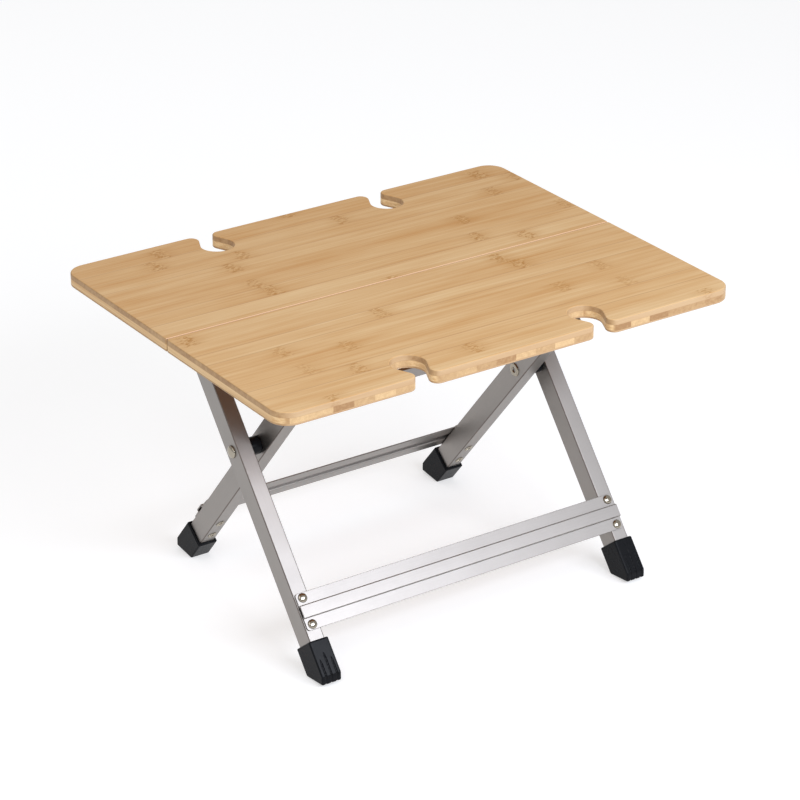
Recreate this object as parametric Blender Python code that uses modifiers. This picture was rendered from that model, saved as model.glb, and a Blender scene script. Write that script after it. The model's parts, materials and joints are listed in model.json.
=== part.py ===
"""Folding side table: two bamboo panels on two crossed aluminium leg frames.

Metres, +Z up. The origin is on the floor below the middle of the top, +X runs along the long edge
and +Y to the rear. The outer frame's feet stand at the front and its top pins sit under the rear
panel. The inner frame is its mirror image, a little narrower. A fold lowers both panels like a tent
about the seam axis while the leg frames close like scissors between them.
"""

import math

import bmesh
import bpy
from mathutils import Vector

# Top
TOP_LENGTH = 0.520
TOP_DEPTH = 0.401
TOP_HEIGHT = 0.321
TOP_THICK = 0.0137
CORNER_R = 0.0200
SEAM_CORNER_R = 0.0024
EDGE_EASE = 0.0015
GAP = 0.0003

# Wine glass slots, each a round seat with a narrow mouth on the long edge
SLOT_X = 0.102
SLOT_R = 0.0168
SLOT_SEAT_IN = 0.0310
SLOT_NECK_HALF = 0.0090
SLOT_HORN_R = 0.0085

# Legs
LEG_ANGLE = math.radians(50.45)
CROSS_HEIGHT = 0.1843
LEG_DEEP = 0.0241
LEG_WIDE = 0.0167
LEG_WALL = 0.0015
LEG_EDGE_R = 0.0012
LEG_TOP_OVER_PIN = 0.0095
LEG_FOOT_END = 0.2180
OUTER_LEG_X = 0.1830
INNER_LEG_X = 0.1534
PIN_DROP = 0.0185

# Lower crossbar: a strip with a raised hollow rib along its middle
LOWER_BAR_AT = 0.1705
BAR_HALF = 0.01865
BAR_SHEET = 0.0015
RIB_HALF = 0.0065
RIB_RISE = 0.0040
RIB_WALL = 0.0014
BAR_END_IN = 0.0016
BAR_CORNER_R = 0.0030
BAR_RIVET_OFF = 0.0134

# Upper crossbar: a flat strip
UPPER_BAR_AT = -0.1107
UPPER_BAR_HALF = 0.0125
UPPER_BAR_THICK = 0.0030

# Feet
FOOT_TOP_AT = 0.1992
FOOT_SIDE_WALL = 0.0026
FOOT_FACE_WALL = 0.0025
FOOT_SOLE_TILT = math.radians(6.0)
FOOT_TOE_ANGLE = math.radians(52.0)
FOOT_TOE_CUT = 0.0055
FOOT_EASE = 0.0010
FOOT_SOCKET_END = LEG_FOOT_END + 0.0010
GROOVE_WIDE = 0.0018
GROOVE_DEEP = 0.0010
GROOVE_PITCH = 0.0058
GROOVE_START = 0.2190

# Making: how far a cutting tool runs past what it cuts, and how much rims and edges are eased
OVERCUT = 0.001
RIM_EASE = 0.0005
SPACER_EASE = 0.0008

# Fasteners
RIVET_R = 0.0025
RIVET_HEAD_R = 0.0047
RIVET_HEAD_H = 0.0024
RIVET_TAIL_R = 0.0042
RIVET_TAIL_H = 0.0008
BLIND_HEAD_R = 0.0040
BLIND_HEAD_H = 0.0014
BLIND_DEPTH = 0.0060
CROSS_PIN_R = 0.0040
CROSS_HEAD_R = 0.0065
CROSS_HEAD_H = 0.0032
CROSS_TAIL_R = 0.0072
CROSS_TAIL_H = 0.0014
CROSS_TAIL_HOLE_R = 0.0026
CROSS_TAIL_HOLE_DEEP = 0.0060
CROSS_TAIL_ROLL = 0.0012
CROSS_TAIL_ROLL_IN = 0.0010
SPACER_R = 0.0092
TOP_PIN_R = 0.0030
TOP_PIN_HEAD_R = 0.0050
TOP_PIN_HEAD_H = 0.0024

# Brackets under the panels
SHEET = 0.0020
BRACKET_FLANGE = 0.0220
BRACKET_SEAM_SIDE = 0.0200
BRACKET_EDGE_SIDE = 0.0100
BRACKET_EAR_R = 0.0090
BRACKET_EAR_FROM = 215
BRACKET_SHOULDER = 0.0020
SCREW_OUT = 0.0135
SCREW_OFFSETS = (-0.0140, 0.0040)
SCREW_HEAD_R = 0.0035
SCREW_SHANK_R = 0.0017
SCREW_LENGTH = 0.0100
SCREW_TIP = 0.0025
SCREW_SEAT_DEEP = 0.0040
PILOT_R = 0.0020
PILOT_DEEP = 0.0098

# Seam hinges
HINGE_X = 0.195
HINGE_LENGTH = 0.050
HINGE_LEAF = 0.0280
HINGE_WEB_IN = 0.0010
KNUCKLE_R = 0.0035
KNUCKLE_HALF = 0.0085
HINGE_PIN_R = 0.00175
HINGE_PIN_HEAD_R = 0.0026
HINGE_PIN_HEAD_H = 0.0008
NOTCH_RISE = 0.0048
NOTCH_HALF = 0.0060

# Leg end plugs
PLUG_CAP = 0.0018
PLUG_DEPTH = 0.0048

# Values that follow
UNDERSIDE = TOP_HEIGHT - TOP_THICK
AXIS_HEIGHT = UNDERSIDE - PIN_DROP
PIN_RISE = AXIS_HEIGHT - CROSS_HEIGHT
PIN_Y = PIN_RISE / math.tan(LEG_ANGLE)
PIN_TO_CROSS = PIN_RISE / math.sin(LEG_ANGLE)
LEG_LEAN = math.pi / 2 - LEG_ANGLE
HALF_DEEP = LEG_DEEP / 2
HALF_WIDE = LEG_WIDE / 2
ROUND_STEPS = 16
SMALL_STEPS = 12
QUARTER = math.pi / 2

FINISHES = {
    "bamboo": ((0.63, 0.39, 0.17), 0.45, 0.0),
    "aluminium": ((0.55, 0.52, 0.51), 0.35, 1.0),
    "nylon": ((0.02, 0.021, 0.022), 0.5, 0.0),
    "rivet": ((0.58, 0.56, 0.50), 0.25, 1.0),
    "zinc": ((0.42, 0.43, 0.44), 0.35, 1.0),
}


# ---------------------------------------------------------------- scene and helpers


def clear_scene():
    """Remove every object of the open scene."""
    for old in list(bpy.data.objects):
        bpy.data.objects.remove(old, do_unlink=True)


def new_collection(name):
    """Add a collection to the scene and return it."""
    made = bpy.data.collections.new(name)
    bpy.context.scene.collection.children.link(made)
    return made


def principled(name, finish):
    """Make one Principled BSDF material of the given finish."""
    colour, roughness, metallic = FINISHES[finish]
    made = bpy.data.materials.new(name)
    made.use_nodes = True
    shader = made.node_tree.nodes["Principled BSDF"]
    shader.inputs["Base Color"].default_value = (*colour, 1.0)
    shader.inputs["Roughness"].default_value = roughness
    shader.inputs["Metallic"].default_value = metallic
    return made


def arc(centre, radius, start, end, steps):
    """Points along an arc, angles in degrees, both ends included."""
    turns = [math.radians(start + (end - start) * i / steps) for i in range(steps + 1)]
    return [(centre[0] + radius * math.cos(a), centre[1] + radius * math.sin(a)) for a in turns]


def rounded_box(half_x, half_y, radius, steps=3):
    """Outline of a rectangle with rounded corners, counter-clockwise."""
    points = []
    for start, sign_x, sign_y in ((0, 1, 1), (90, -1, 1), (180, -1, -1), (270, 1, -1)):
        centre = (sign_x * (half_x - radius), sign_y * (half_y - radius))
        points += arc(centre, radius, start, start + 90, steps)
    return points


def box_outline(low_x, high_x, low_y, high_y):
    """Outline of a plain rectangle."""
    return [(low_x, low_y), (high_x, low_y), (high_x, high_y), (low_x, high_y)]


class Bench:
    """Makes the objects and puts each into its collection."""

    def __init__(self):
        self.parts = new_collection("folding_side_table")
        self.cutters = new_collection("cutters")

    def add(self, name, mesh, finish, parent, place, turn):
        """Wrap a mesh in an object; without a finish it is a cutter."""
        made = bpy.data.objects.new(name, mesh)
        made.parent = parent
        made.location = place
        made.rotation_euler = turn
        if finish is None:
            self.cutters.objects.link(made)
            made.hide_render = True
            made.display_type = "WIRE"
        else:
            self.parts.objects.link(made)
            mesh.materials.append(principled(name, finish))
        return made

    def empty(self, name, place, turn, parent=None):
        """Add an empty on a joint's axis."""
        made = bpy.data.objects.new(name, None)
        self.parts.objects.link(made)
        made.parent = parent
        made.location = place
        made.rotation_euler = turn
        return made

    def plate(self, name, outlines, thickness, finish=None, parent=None, place=(0, 0, 0), turn=(0, 0, 0)):
        """Extrude flat outlines both ways along local Z; a second outline is a hole."""
        curve = bpy.data.curves.new(name, "CURVE")
        curve.dimensions = "2D"
        curve.fill_mode = "BOTH"
        curve.extrude = thickness / 2
        for outline in outlines:
            spline = curve.splines.new("POLY")
            spline.points.add(len(outline) - 1)
            for point, (x, y) in zip(spline.points, outline):
                point.co = (x, y, 0.0, 1.0)
            spline.use_cyclic_u = True
        holder = bpy.data.objects.new(name + "_outline", curve)
        self.cutters.objects.link(holder)
        graph = bpy.context.evaluated_depsgraph_get()
        mesh = bpy.data.meshes.new_from_object(holder.evaluated_get(graph))
        bpy.data.objects.remove(holder)
        bpy.data.curves.remove(curve)
        shape = bmesh.new()
        shape.from_mesh(mesh)
        bmesh.ops.remove_doubles(shape, verts=shape.verts, dist=0.00001)
        bmesh.ops.recalc_face_normals(shape, faces=shape.faces)
        shape.to_mesh(mesh)
        shape.free()
        mesh.name = name
        return self.add(name, mesh, finish, parent, place, turn)

    def bar(self, name, outlines, length, finish=None, parent=None, place=(0, 0, 0)):
        """Extrude outlines given as (along -Z, along Y) into a bar along X."""
        return self.plate(name, outlines, length, finish, parent, place, (0, QUARTER, 0))

    def turned(
        self, name, profile, finish=None, parent=None, place=(0, 0, 0), turn=(0, 0, 0), steps=SMALL_STEPS
    ):
        """Turn a profile of (radius, height) points, top to bottom, about local Z."""
        mesh = bpy.data.meshes.new(name)
        points = [Vector((radius, 0.0, height)) for radius, height in profile]
        edges = [(i, i + 1) for i in range(len(points) - 1)]
        mesh.from_pydata(points, edges, [])
        made = self.add(name, mesh, finish, parent, place, turn)
        screw = made.modifiers.new("turn", "SCREW")
        screw.steps = steps
        screw.render_steps = steps
        screw.use_merge_vertices = True
        screw.merge_threshold = 0.00001
        screw.use_smooth_shade = False
        return made

    def rod(self, name, radius, length, parent=None, place=(0, 0, 0), turn=(0, 0, 0), steps=SMALL_STEPS):
        """A plain cylinder about local Z, used only to cut or to join."""
        mesh = bpy.data.meshes.new(name)
        shape = bmesh.new()
        bmesh.ops.create_cone(
            shape, cap_ends=True, segments=steps, radius1=radius, radius2=radius, depth=length
        )
        shape.to_mesh(mesh)
        shape.free()
        return self.add(name, mesh, None, parent, place, turn)

    def block(self, name, low, high, parent=None):
        """A plain box between two corners, used only to cut."""
        mesh = bpy.data.meshes.new(name)
        shape = bmesh.new()
        bmesh.ops.create_cube(shape, size=1.0)
        size = [b - a for a, b in zip(low, high)]
        middle = [(a + b) / 2 for a, b in zip(low, high)]
        bmesh.ops.scale(shape, vec=size, verts=shape.verts)
        shape.to_mesh(mesh)
        shape.free()
        return self.add(name, mesh, None, parent, middle, (0, 0, 0))


def boolean(target, tool, operation="DIFFERENCE"):
    """Add a Boolean modifier to the target."""
    step = target.modifiers.new(tool.name, "BOOLEAN")
    step.operation = operation
    step.solver = "EXACT"
    step.object = tool


def bevel(target, width, segments=1, angle=50.0):
    """Ease the sharp edges of the target."""
    step = target.modifiers.new("ease", "BEVEL")
    step.width = width
    step.segments = segments
    step.limit_method = "ANGLE"
    step.angle_limit = math.radians(angle)
    step.miter_outer = "MITER_ARC"


def dome(radius, height, base, steps=3):
    """Profile of a domed head from its crown at base + height down to its rim at base."""
    points = []
    for i in range(steps + 1):
        turn = QUARTER * i / steps
        points.append((radius * math.sin(turn), base + height * math.cos(turn)))
    return points


# ---------------------------------------------------------------- top panels


def slot_outline(middle, edge):
    """Outline of one slot that opens on the line y = edge, from its right horn to its left."""
    horn_x = SLOT_NECK_HALF + SLOT_HORN_R
    seat_drop = SLOT_SEAT_IN - SLOT_HORN_R
    span = math.hypot(horn_x, seat_drop)
    lean = math.acos((SLOT_HORN_R + SLOT_R) / span)
    flare = math.degrees(math.atan2(seat_drop, horn_x) - lean)
    points = arc((middle + horn_x, edge - SLOT_HORN_R), SLOT_HORN_R, 90, 180 + flare, 6)
    points += arc((middle, edge - SLOT_SEAT_IN), SLOT_R, flare, -180 - flare, 20)
    points += arc((middle - horn_x, edge - SLOT_HORN_R), SLOT_HORN_R, -flare, 90, 6)
    return points


def panel_outline(side):
    """Outline of one half of the top: side +1 is the rear half, -1 the front half."""
    half_x = TOP_LENGTH / 2
    edge = TOP_DEPTH / 2
    low = GAP
    points = arc((-half_x + SEAM_CORNER_R, low + SEAM_CORNER_R), SEAM_CORNER_R, 180, 270, 3)
    points += arc((half_x - SEAM_CORNER_R, low + SEAM_CORNER_R), SEAM_CORNER_R, 270, 360, 3)
    points += arc((half_x - CORNER_R, edge - CORNER_R), CORNER_R, 0, 90, 6)
    points += slot_outline(SLOT_X, edge)
    points += slot_outline(-SLOT_X, edge)
    points += arc((-half_x + CORNER_R, edge - CORNER_R), CORNER_R, 90, 180, 6)
    if side < 0:
        points = [(x, -y) for x, y in reversed(points)]
    return points


def make_panel(bench, name, side, parent, drop):
    """One bamboo panel with its slots, eased edges and pilot holes for the bracket screws."""
    outline = panel_outline(side)
    place = (0, 0, TOP_HEIGHT - TOP_THICK / 2 - drop)
    panel = bench.plate(name, [outline], TOP_THICK, "bamboo", parent, place)
    bevel(panel, EDGE_EASE)
    for label, x, y in screw_places(side):
        middle = UNDERSIDE + PILOT_DEEP / 2 - OVERCUT - drop
        hole = bench.rod(f"{name}_pilot_{label}", PILOT_R, PILOT_DEEP + 2 * OVERCUT, parent, (x, y, middle))
        boolean(panel, hole)


def screw_places(side):
    """Places of the bracket screws below the panel on the given side."""
    leg_x, ear_side = (OUTER_LEG_X, 1) if side > 0 else (INNER_LEG_X, -1)
    places = []
    for hand, sign in (("left", -1), ("right", 1)):
        x = sign * (leg_x + ear_side * (HALF_WIDE + GAP + SCREW_OUT))
        for row, offset in zip(("seam", "edge"), SCREW_OFFSETS):
            places.append((f"{hand}_{row}", x, side * (PIN_Y + offset)))
    return places


# ---------------------------------------------------------------- leg frames


class Frame:
    """One X-leg frame, modelled about its top pins with local Z up along the legs.

    face is the local Y direction of the lower crossbar: -1 on the outer frame, +1 on the inner.
    ear_side is the side of each leg that its bracket and rivet head sit on: +1 away from the middle.
    """

    def __init__(self, bench, name, leg_x, face, ear_side, axis):
        self.bench = bench
        self.name = name
        self.leg_x = leg_x
        self.face = face
        self.ear_side = ear_side
        self.axis = axis

    def along(self, station):
        """Local height of a station measured from the crossing towards the foot."""
        return -PIN_TO_CROSS - station

    def cross_hole(self, leg, label, radius, x, z):
        """Drill a leg from side to side."""
        tool = self.bench.rod(
            f"{leg.name}_{label}", radius, LEG_WIDE + 0.004, self.axis, (x, 0, z), (0, QUARTER, 0)
        )
        boolean(leg, tool)

    def face_hole(self, target, label, radius, x, z, low, high):
        """Drill a piece along local Y from low to high."""
        place = (x, (low + high) / 2, z)
        tool = self.bench.rod(f"{target.name}_{label}", radius, high - low, self.axis, place, (QUARTER, 0, 0))
        boolean(target, tool)

    def bar_rivet_heights(self):
        """Local heights of the two rivets at each end of the lower crossbar."""
        middle = self.along(LOWER_BAR_AT)
        return (("upper", middle + BAR_RIVET_OFF), ("lower", middle - BAR_RIVET_OFF))

    def make_leg(self, hand, sign):
        """A rectangular tube with its holes."""
        x = sign * self.leg_x
        top = LEG_TOP_OVER_PIN
        bottom = self.along(LEG_FOOT_END)
        outer = rounded_box(HALF_WIDE, HALF_DEEP, LEG_EDGE_R, 2)
        bore_x = HALF_WIDE - LEG_WALL
        bore_y = HALF_DEEP - LEG_WALL
        inner = box_outline(-bore_x, bore_x, -bore_y, bore_y)
        place = (x, 0, (top + bottom) / 2)
        leg = self.bench.plate(
            f"{self.name}_leg_{hand}", [outer, inner], top - bottom, "aluminium", self.axis, place
        )
        self.cross_hole(leg, "top_hole", TOP_PIN_R + GAP, x, 0)
        self.cross_hole(leg, "cross_hole", CROSS_PIN_R + GAP, x, self.along(0))
        far = HALF_DEEP + 0.002
        for label, z in self.bar_rivet_heights():
            self.face_hole(leg, f"{label}_hole", RIVET_R + GAP, x, z, -far, far)
        blind = (0, far) if self.face < 0 else (-far, 0)
        self.face_hole(leg, "blind_hole", RIVET_R + GAP, x, self.along(UPPER_BAR_AT), *blind)

    def make_lower_bar(self):
        """The strip with the raised rib, riveted across the legs."""
        length = 2 * (self.leg_x + HALF_WIDE - BAR_END_IN)
        inner = RIB_HALF - RIB_WALL
        outline = [
            (-BAR_HALF, 0),
            (-inner, 0),
            (-inner, RIB_RISE - RIB_WALL),
            (inner, RIB_RISE - RIB_WALL),
            (inner, 0),
            (BAR_HALF, 0),
            (BAR_HALF, BAR_SHEET),
            (RIB_HALF, BAR_SHEET),
            (RIB_HALF, RIB_RISE),
            (-RIB_HALF, RIB_RISE),
            (-RIB_HALF, BAR_SHEET),
            (-BAR_HALF, BAR_SHEET),
        ]
        outline = [(p, self.face * q) for p, q in outline]
        middle = self.along(LOWER_BAR_AT)
        seat = self.face * (HALF_DEEP + GAP)
        bar = self.bench.bar(
            f"{self.name}_lower_crossbar", [outline], length, "aluminium", self.axis, (0, seat, middle)
        )
        self.round_ends(bar, length, BAR_HALF, middle)
        for hand, sign in (("left", -1), ("right", 1)):
            for label, z in self.bar_rivet_heights():
                name = f"{hand}_{label}"
                self.face_hole(bar, name, RIVET_R + GAP, sign * self.leg_x, z, *self.reach(0.006))

    def make_upper_bar(self):
        """The flat strip on the opposite face of the legs, close to the top."""
        length = 2 * (self.leg_x + HALF_WIDE - BAR_END_IN)
        outline = box_outline(-UPPER_BAR_HALF, UPPER_BAR_HALF, 0, -self.face * UPPER_BAR_THICK)
        middle = self.along(UPPER_BAR_AT)
        seat = -self.face * (HALF_DEEP + GAP)
        bar = self.bench.bar(
            f"{self.name}_upper_crossbar", [outline], length, "aluminium", self.axis, (0, seat, middle)
        )
        self.round_ends(bar, length, UPPER_BAR_HALF, middle)
        for hand, sign in (("left", -1), ("right", 1)):
            self.face_hole(bar, hand, RIVET_R + GAP, sign * self.leg_x, middle, *self.reach(0.006, -1))

    def reach(self, past, way=1):
        """Local Y range from inside a leg face to a little past it, on the crossbar's side."""
        near = way * self.face * (HALF_DEEP - 0.001)
        far = way * self.face * (HALF_DEEP + past)
        return min(near, far), max(near, far)

    def round_ends(self, bar, length, half, middle):
        """Round a crossbar's four corners by keeping only what lies in a rounded outline."""
        outline = rounded_box(length / 2, half + 0.00001, BAR_CORNER_R)
        tool = self.bench.plate(
            f"{bar.name}_outline", [outline], 0.06, None, self.axis, (0, 0, middle), (QUARTER, 0, 0)
        )
        boolean(bar, tool, "INTERSECT")

    def make_bar_rivets(self, hand, sign):
        """The two tubular rivets that hold one end of the lower crossbar."""
        seat = HALF_DEEP + BAR_SHEET + 2 * GAP
        tail = -HALF_DEEP - GAP
        profile = dome(RIVET_HEAD_R, RIVET_HEAD_H, seat)
        profile += [
            (RIVET_R, seat),
            (RIVET_R, tail),
            (RIVET_TAIL_R, tail),
            (RIVET_TAIL_R - 0.0006, tail - RIVET_TAIL_H),
            (RIVET_R - 0.0003, tail - RIVET_TAIL_H),
            (RIVET_R - 0.0008, tail - 0.0001),
            (0, tail - 0.0001),
        ]
        for label, z in self.bar_rivet_heights():
            name = f"{self.name}_crossbar_rivet_{hand}_{label}"
            place = (sign * self.leg_x, 0, z)
            self.bench.turned(name, profile, "rivet", self.axis, place, (-self.face * QUARTER, 0, 0))

    def make_blind_rivet(self, hand, sign):
        """The blind rivet that holds one end of the upper crossbar."""
        seat = HALF_DEEP + UPPER_BAR_THICK + 2 * GAP
        bottom = seat - BLIND_DEPTH - UPPER_BAR_THICK
        profile = dome(BLIND_HEAD_R, BLIND_HEAD_H, seat)
        profile += [(RIVET_R, seat), (RIVET_R, bottom), (0, bottom)]
        place = (sign * self.leg_x, 0, self.along(UPPER_BAR_AT))
        name = f"{self.name}_upper_rivet_{hand}"
        self.bench.turned(name, profile, "rivet", self.axis, place, (self.face * QUARTER, 0, 0))

    def make_plug(self, hand, sign):
        """The plastic plug in a leg's top end."""
        x = sign * self.leg_x
        half_x = HALF_WIDE - LEG_WALL - GAP
        half_y = HALF_DEEP - LEG_WALL - GAP
        cap_low = LEG_TOP_OVER_PIN + GAP
        cap = self.bench.plate(
            f"{self.name}_leg_plug_{hand}",
            [rounded_box(HALF_WIDE, HALF_DEEP, LEG_EDGE_R, 2)],
            PLUG_CAP,
            "nylon",
            self.axis,
            (x, 0, cap_low + PLUG_CAP / 2),
        )
        low = (x - half_x, -half_y, LEG_TOP_OVER_PIN - PLUG_DEPTH)
        high = (x + half_x, half_y, cap_low + PLUG_CAP / 2)
        boolean(cap, self.bench.block(f"{cap.name}_body", low, high, self.axis), "UNION")

    def make_top_pin(self, hand, sign):
        """The rivet that a leg's top end turns on, headed over the bracket's ear."""
        head = HALF_WIDE + SHEET + 2 * GAP
        tail = -HALF_WIDE - GAP
        profile = dome(TOP_PIN_HEAD_R, TOP_PIN_HEAD_H, head)
        profile += [
            (TOP_PIN_R, head),
            (TOP_PIN_R, tail),
            (TOP_PIN_HEAD_R, tail),
            (TOP_PIN_HEAD_R - 0.0007, tail - 0.0010),
            (0, tail - 0.0010),
        ]
        turn = (0, sign * self.ear_side * QUARTER, 0)
        name = f"{self.name}_top_pin_{hand}"
        self.bench.turned(name, profile, "rivet", self.axis, (sign * self.leg_x, 0, 0), turn)

    def make_foot(self, hand, sign):
        """The ribbed boot over a leg's lower end, its sole cut for a slightly steeper leg."""
        half_face = HALF_DEEP + FOOT_FACE_WALL
        heel_rise = FOOT_EASE * math.sin(FOOT_SOLE_TILT)
        heel = (CROSS_HEIGHT + heel_rise - half_face * math.cos(LEG_ANGLE)) / math.sin(LEG_ANGLE)
        slope = math.tan(LEG_LEAN - FOOT_SOLE_TILT)
        toe = heel + slope * (2 * half_face - FOOT_TOE_CUT)
        toe_top = toe - FOOT_TOE_CUT * math.tan(FOOT_TOE_ANGLE)
        shape = [
            (FOOT_TOP_AT, -half_face),
            (heel, -half_face),
            (toe, half_face - FOOT_TOE_CUT),
            (toe_top, half_face),
            (FOOT_TOP_AT, half_face),
        ]
        middle = self.along(0)
        outline = [(station, self.face * y) for station, y in shape]
        width = LEG_WIDE + 2 * FOOT_SIDE_WALL
        x = sign * self.leg_x
        foot = self.bench.bar(
            f"{self.name}_foot_{hand}", [outline], width, "nylon", self.axis, (x, 0, middle)
        )
        bevel(foot, FOOT_EASE)
        low = (x - HALF_WIDE - GAP, -HALF_DEEP - GAP, self.along(FOOT_SOCKET_END))
        high = (x + HALF_WIDE + GAP, HALF_DEEP + GAP, self.along(FOOT_TOP_AT) + 0.003)
        boolean(foot, self.bench.block(f"{foot.name}_socket", low, high, self.axis))
        inside = half_face - GROOVE_DEEP
        past = 0.004
        groove = [
            (GROOVE_START, half_face + past),
            (GROOVE_START + GROOVE_DEEP, inside),
            (toe_top - 0.0002, inside),
            (toe - GROOVE_DEEP, inside - FOOT_TOE_CUT),
            (heel - GROOVE_DEEP, -half_face - 0.001),
            (toe + past, -half_face - 0.001),
            (toe + past, half_face + past),
        ]
        groove = [(station, self.face * y) for station, y in groove]
        for label, step in (("a", -1), ("b", 0), ("c", 1)):
            place = (x + step * GROOVE_PITCH, 0, middle)
            tool_name = f"{foot.name}_groove_{label}"
            boolean(foot, self.bench.bar(tool_name, [groove], GROOVE_WIDE, None, self.axis, place))

    def make_all(self):
        """Every piece of the frame."""
        self.make_lower_bar()
        self.make_upper_bar()
        for hand, sign in (("left", -1), ("right", 1)):
            self.make_leg(hand, sign)
            self.make_plug(hand, sign)
            self.make_foot(hand, sign)
            self.make_bar_rivets(hand, sign)
            self.make_blind_rivet(hand, sign)
            self.make_top_pin(hand, sign)


# ---------------------------------------------------------------- crossing pivots


def make_crossing(bench, hand, sign, outer_axis, inner_axis):
    """Rivet and spacer on the outer leg, and the rolled tail that the inner leg turns with."""
    height = -PIN_TO_CROSS
    turn = (0, sign * QUARTER, 0)
    inner_face = INNER_LEG_X + HALF_WIDE - OUTER_LEG_X
    head = HALF_WIDE + GAP
    profile = dome(CROSS_HEAD_R, CROSS_HEAD_H, head, 4)
    profile += [(CROSS_PIN_R, head), (CROSS_PIN_R, inner_face + GAP), (0, inner_face + GAP)]
    place = (sign * OUTER_LEG_X, 0, height)
    bench.turned(f"cross_rivet_{hand}", profile, "rivet", outer_axis, place, turn, ROUND_STEPS)

    bore = CROSS_PIN_R + GAP
    low = inner_face + GAP
    high = -HALF_WIDE - GAP
    ring = [(bore, high), (SPACER_R - SPACER_EASE, high), (SPACER_R, high - SPACER_EASE)]
    ring += [(SPACER_R, low + SPACER_EASE), (SPACER_R - SPACER_EASE, low), (bore, low), (bore, high)]
    bench.turned(f"cross_spacer_{hand}", ring, "nylon", outer_axis, place, turn, ROUND_STEPS)

    seat = -HALF_WIDE - GAP
    rim = CROSS_TAIL_HOLE_R
    tail = [
        (0, HALF_WIDE - GAP),
        (CROSS_PIN_R, HALF_WIDE - GAP),
        (CROSS_PIN_R, seat),
        (CROSS_TAIL_R, seat),
        (CROSS_TAIL_R, seat - RIM_EASE),
        (CROSS_TAIL_R - CROSS_TAIL_ROLL, seat - CROSS_TAIL_H),
        (rim + CROSS_TAIL_ROLL_IN, seat - CROSS_TAIL_H),
        (rim, seat - RIM_EASE),
        (rim, seat + CROSS_TAIL_HOLE_DEEP),
        (0, seat + CROSS_TAIL_HOLE_DEEP),
    ]
    inner_place = (sign * INNER_LEG_X, 0, height)
    bench.turned(f"cross_rivet_tail_{hand}", tail, "rivet", inner_axis, inner_place, turn, ROUND_STEPS)


# ---------------------------------------------------------------- brackets


def make_bracket(bench, frame, hand, sign, side, parent, drop):
    """An angle of sheet: a flange screwed under the panel and an ear beside the leg."""
    out = sign * frame.ear_side
    near = sign * frame.leg_x + out * (HALF_WIDE + GAP)
    top = UNDERSIDE - GAP - drop
    axis_z = AXIS_HEIGHT - drop
    blank = top - axis_z + 2 * BRACKET_EAR_R
    outline = [
        (0, 0),
        (BRACKET_FLANGE, 0),
        (BRACKET_FLANGE, -SHEET),
        (SHEET, -SHEET),
        (SHEET, -blank),
        (0, -blank),
    ]
    outline = [(near + out * x, top + z) for x, z in outline]
    length = BRACKET_SEAM_SIDE + BRACKET_EDGE_SIDE
    middle = side * (PIN_Y + (BRACKET_EDGE_SIDE - BRACKET_SEAM_SIDE) / 2)
    name = f"{frame.name}_bracket_{hand}"
    bracket = bench.plate(name, [outline], length, "zinc", parent, (0, middle, 0), (QUARTER, 0, 0))

    shoulder = top - SHEET - BRACKET_SHOULDER
    ear = arc((0, 0), BRACKET_EAR_R, BRACKET_EAR_FROM, 360, 8)
    seam_end = side * (PIN_Y - BRACKET_SEAM_SIDE - OVERCUT)
    edge_end = side * (PIN_Y + BRACKET_EDGE_SIDE + OVERCUT)
    shape = [(seam_end, top + OVERCUT), (seam_end, shoulder)]
    shape += [(side * (PIN_Y + y), axis_z + z) for y, z in ear]
    shape += [(edge_end, shoulder), (edge_end, top + OVERCUT)]
    width = BRACKET_FLANGE + 4 * OVERCUT
    # turned so that the outline's first axis runs along world Y and its second along world Z
    place = (near + out * BRACKET_FLANGE / 2, 0, 0)
    tool = bench.plate(f"{name}_outline", [shape], width, None, parent, place, (QUARTER, 0, QUARTER))
    boolean(bracket, tool, "INTERSECT")
    pin_hole = bench.rod(
        f"{name}_hole", TOP_PIN_R + GAP, 5 * SHEET, parent, (near, side * PIN_Y, axis_z), (0, QUARTER, 0)
    )
    boolean(bracket, pin_hole)
    for row, offset in zip(("seam", "edge"), SCREW_OFFSETS):
        x = near + out * SCREW_OUT
        y = side * (PIN_Y + offset)
        make_screw(bench, bracket, f"{name}_screw_{row}", (x, y, top - SHEET), parent)


def make_screw(bench, bracket, name, seat, parent):
    """A countersunk wood screw, and the seat it needs in the bracket."""
    cone = SCREW_HEAD_R - SCREW_SHANK_R
    profile = [
        (0, SCREW_LENGTH),
        (SCREW_SHANK_R, SCREW_LENGTH - SCREW_TIP),
        (SCREW_SHANK_R, cone),
        (SCREW_HEAD_R, 0),
        (0, 0),
    ]
    bench.turned(name, profile, "zinc", parent, seat)
    wide = GAP * 1.5
    cutter = [
        (0, SCREW_SEAT_DEEP),
        (SCREW_SHANK_R + wide, SCREW_SEAT_DEEP),
        (SCREW_SHANK_R + wide, cone),
        (SCREW_HEAD_R + wide, 0),
        (SCREW_HEAD_R + wide, -OVERCUT),
        (0, -OVERCUT),
    ]
    boolean(bracket, bench.turned(f"{name}_seat", cutter, None, parent, seat))


# ---------------------------------------------------------------- seam hinges


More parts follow.
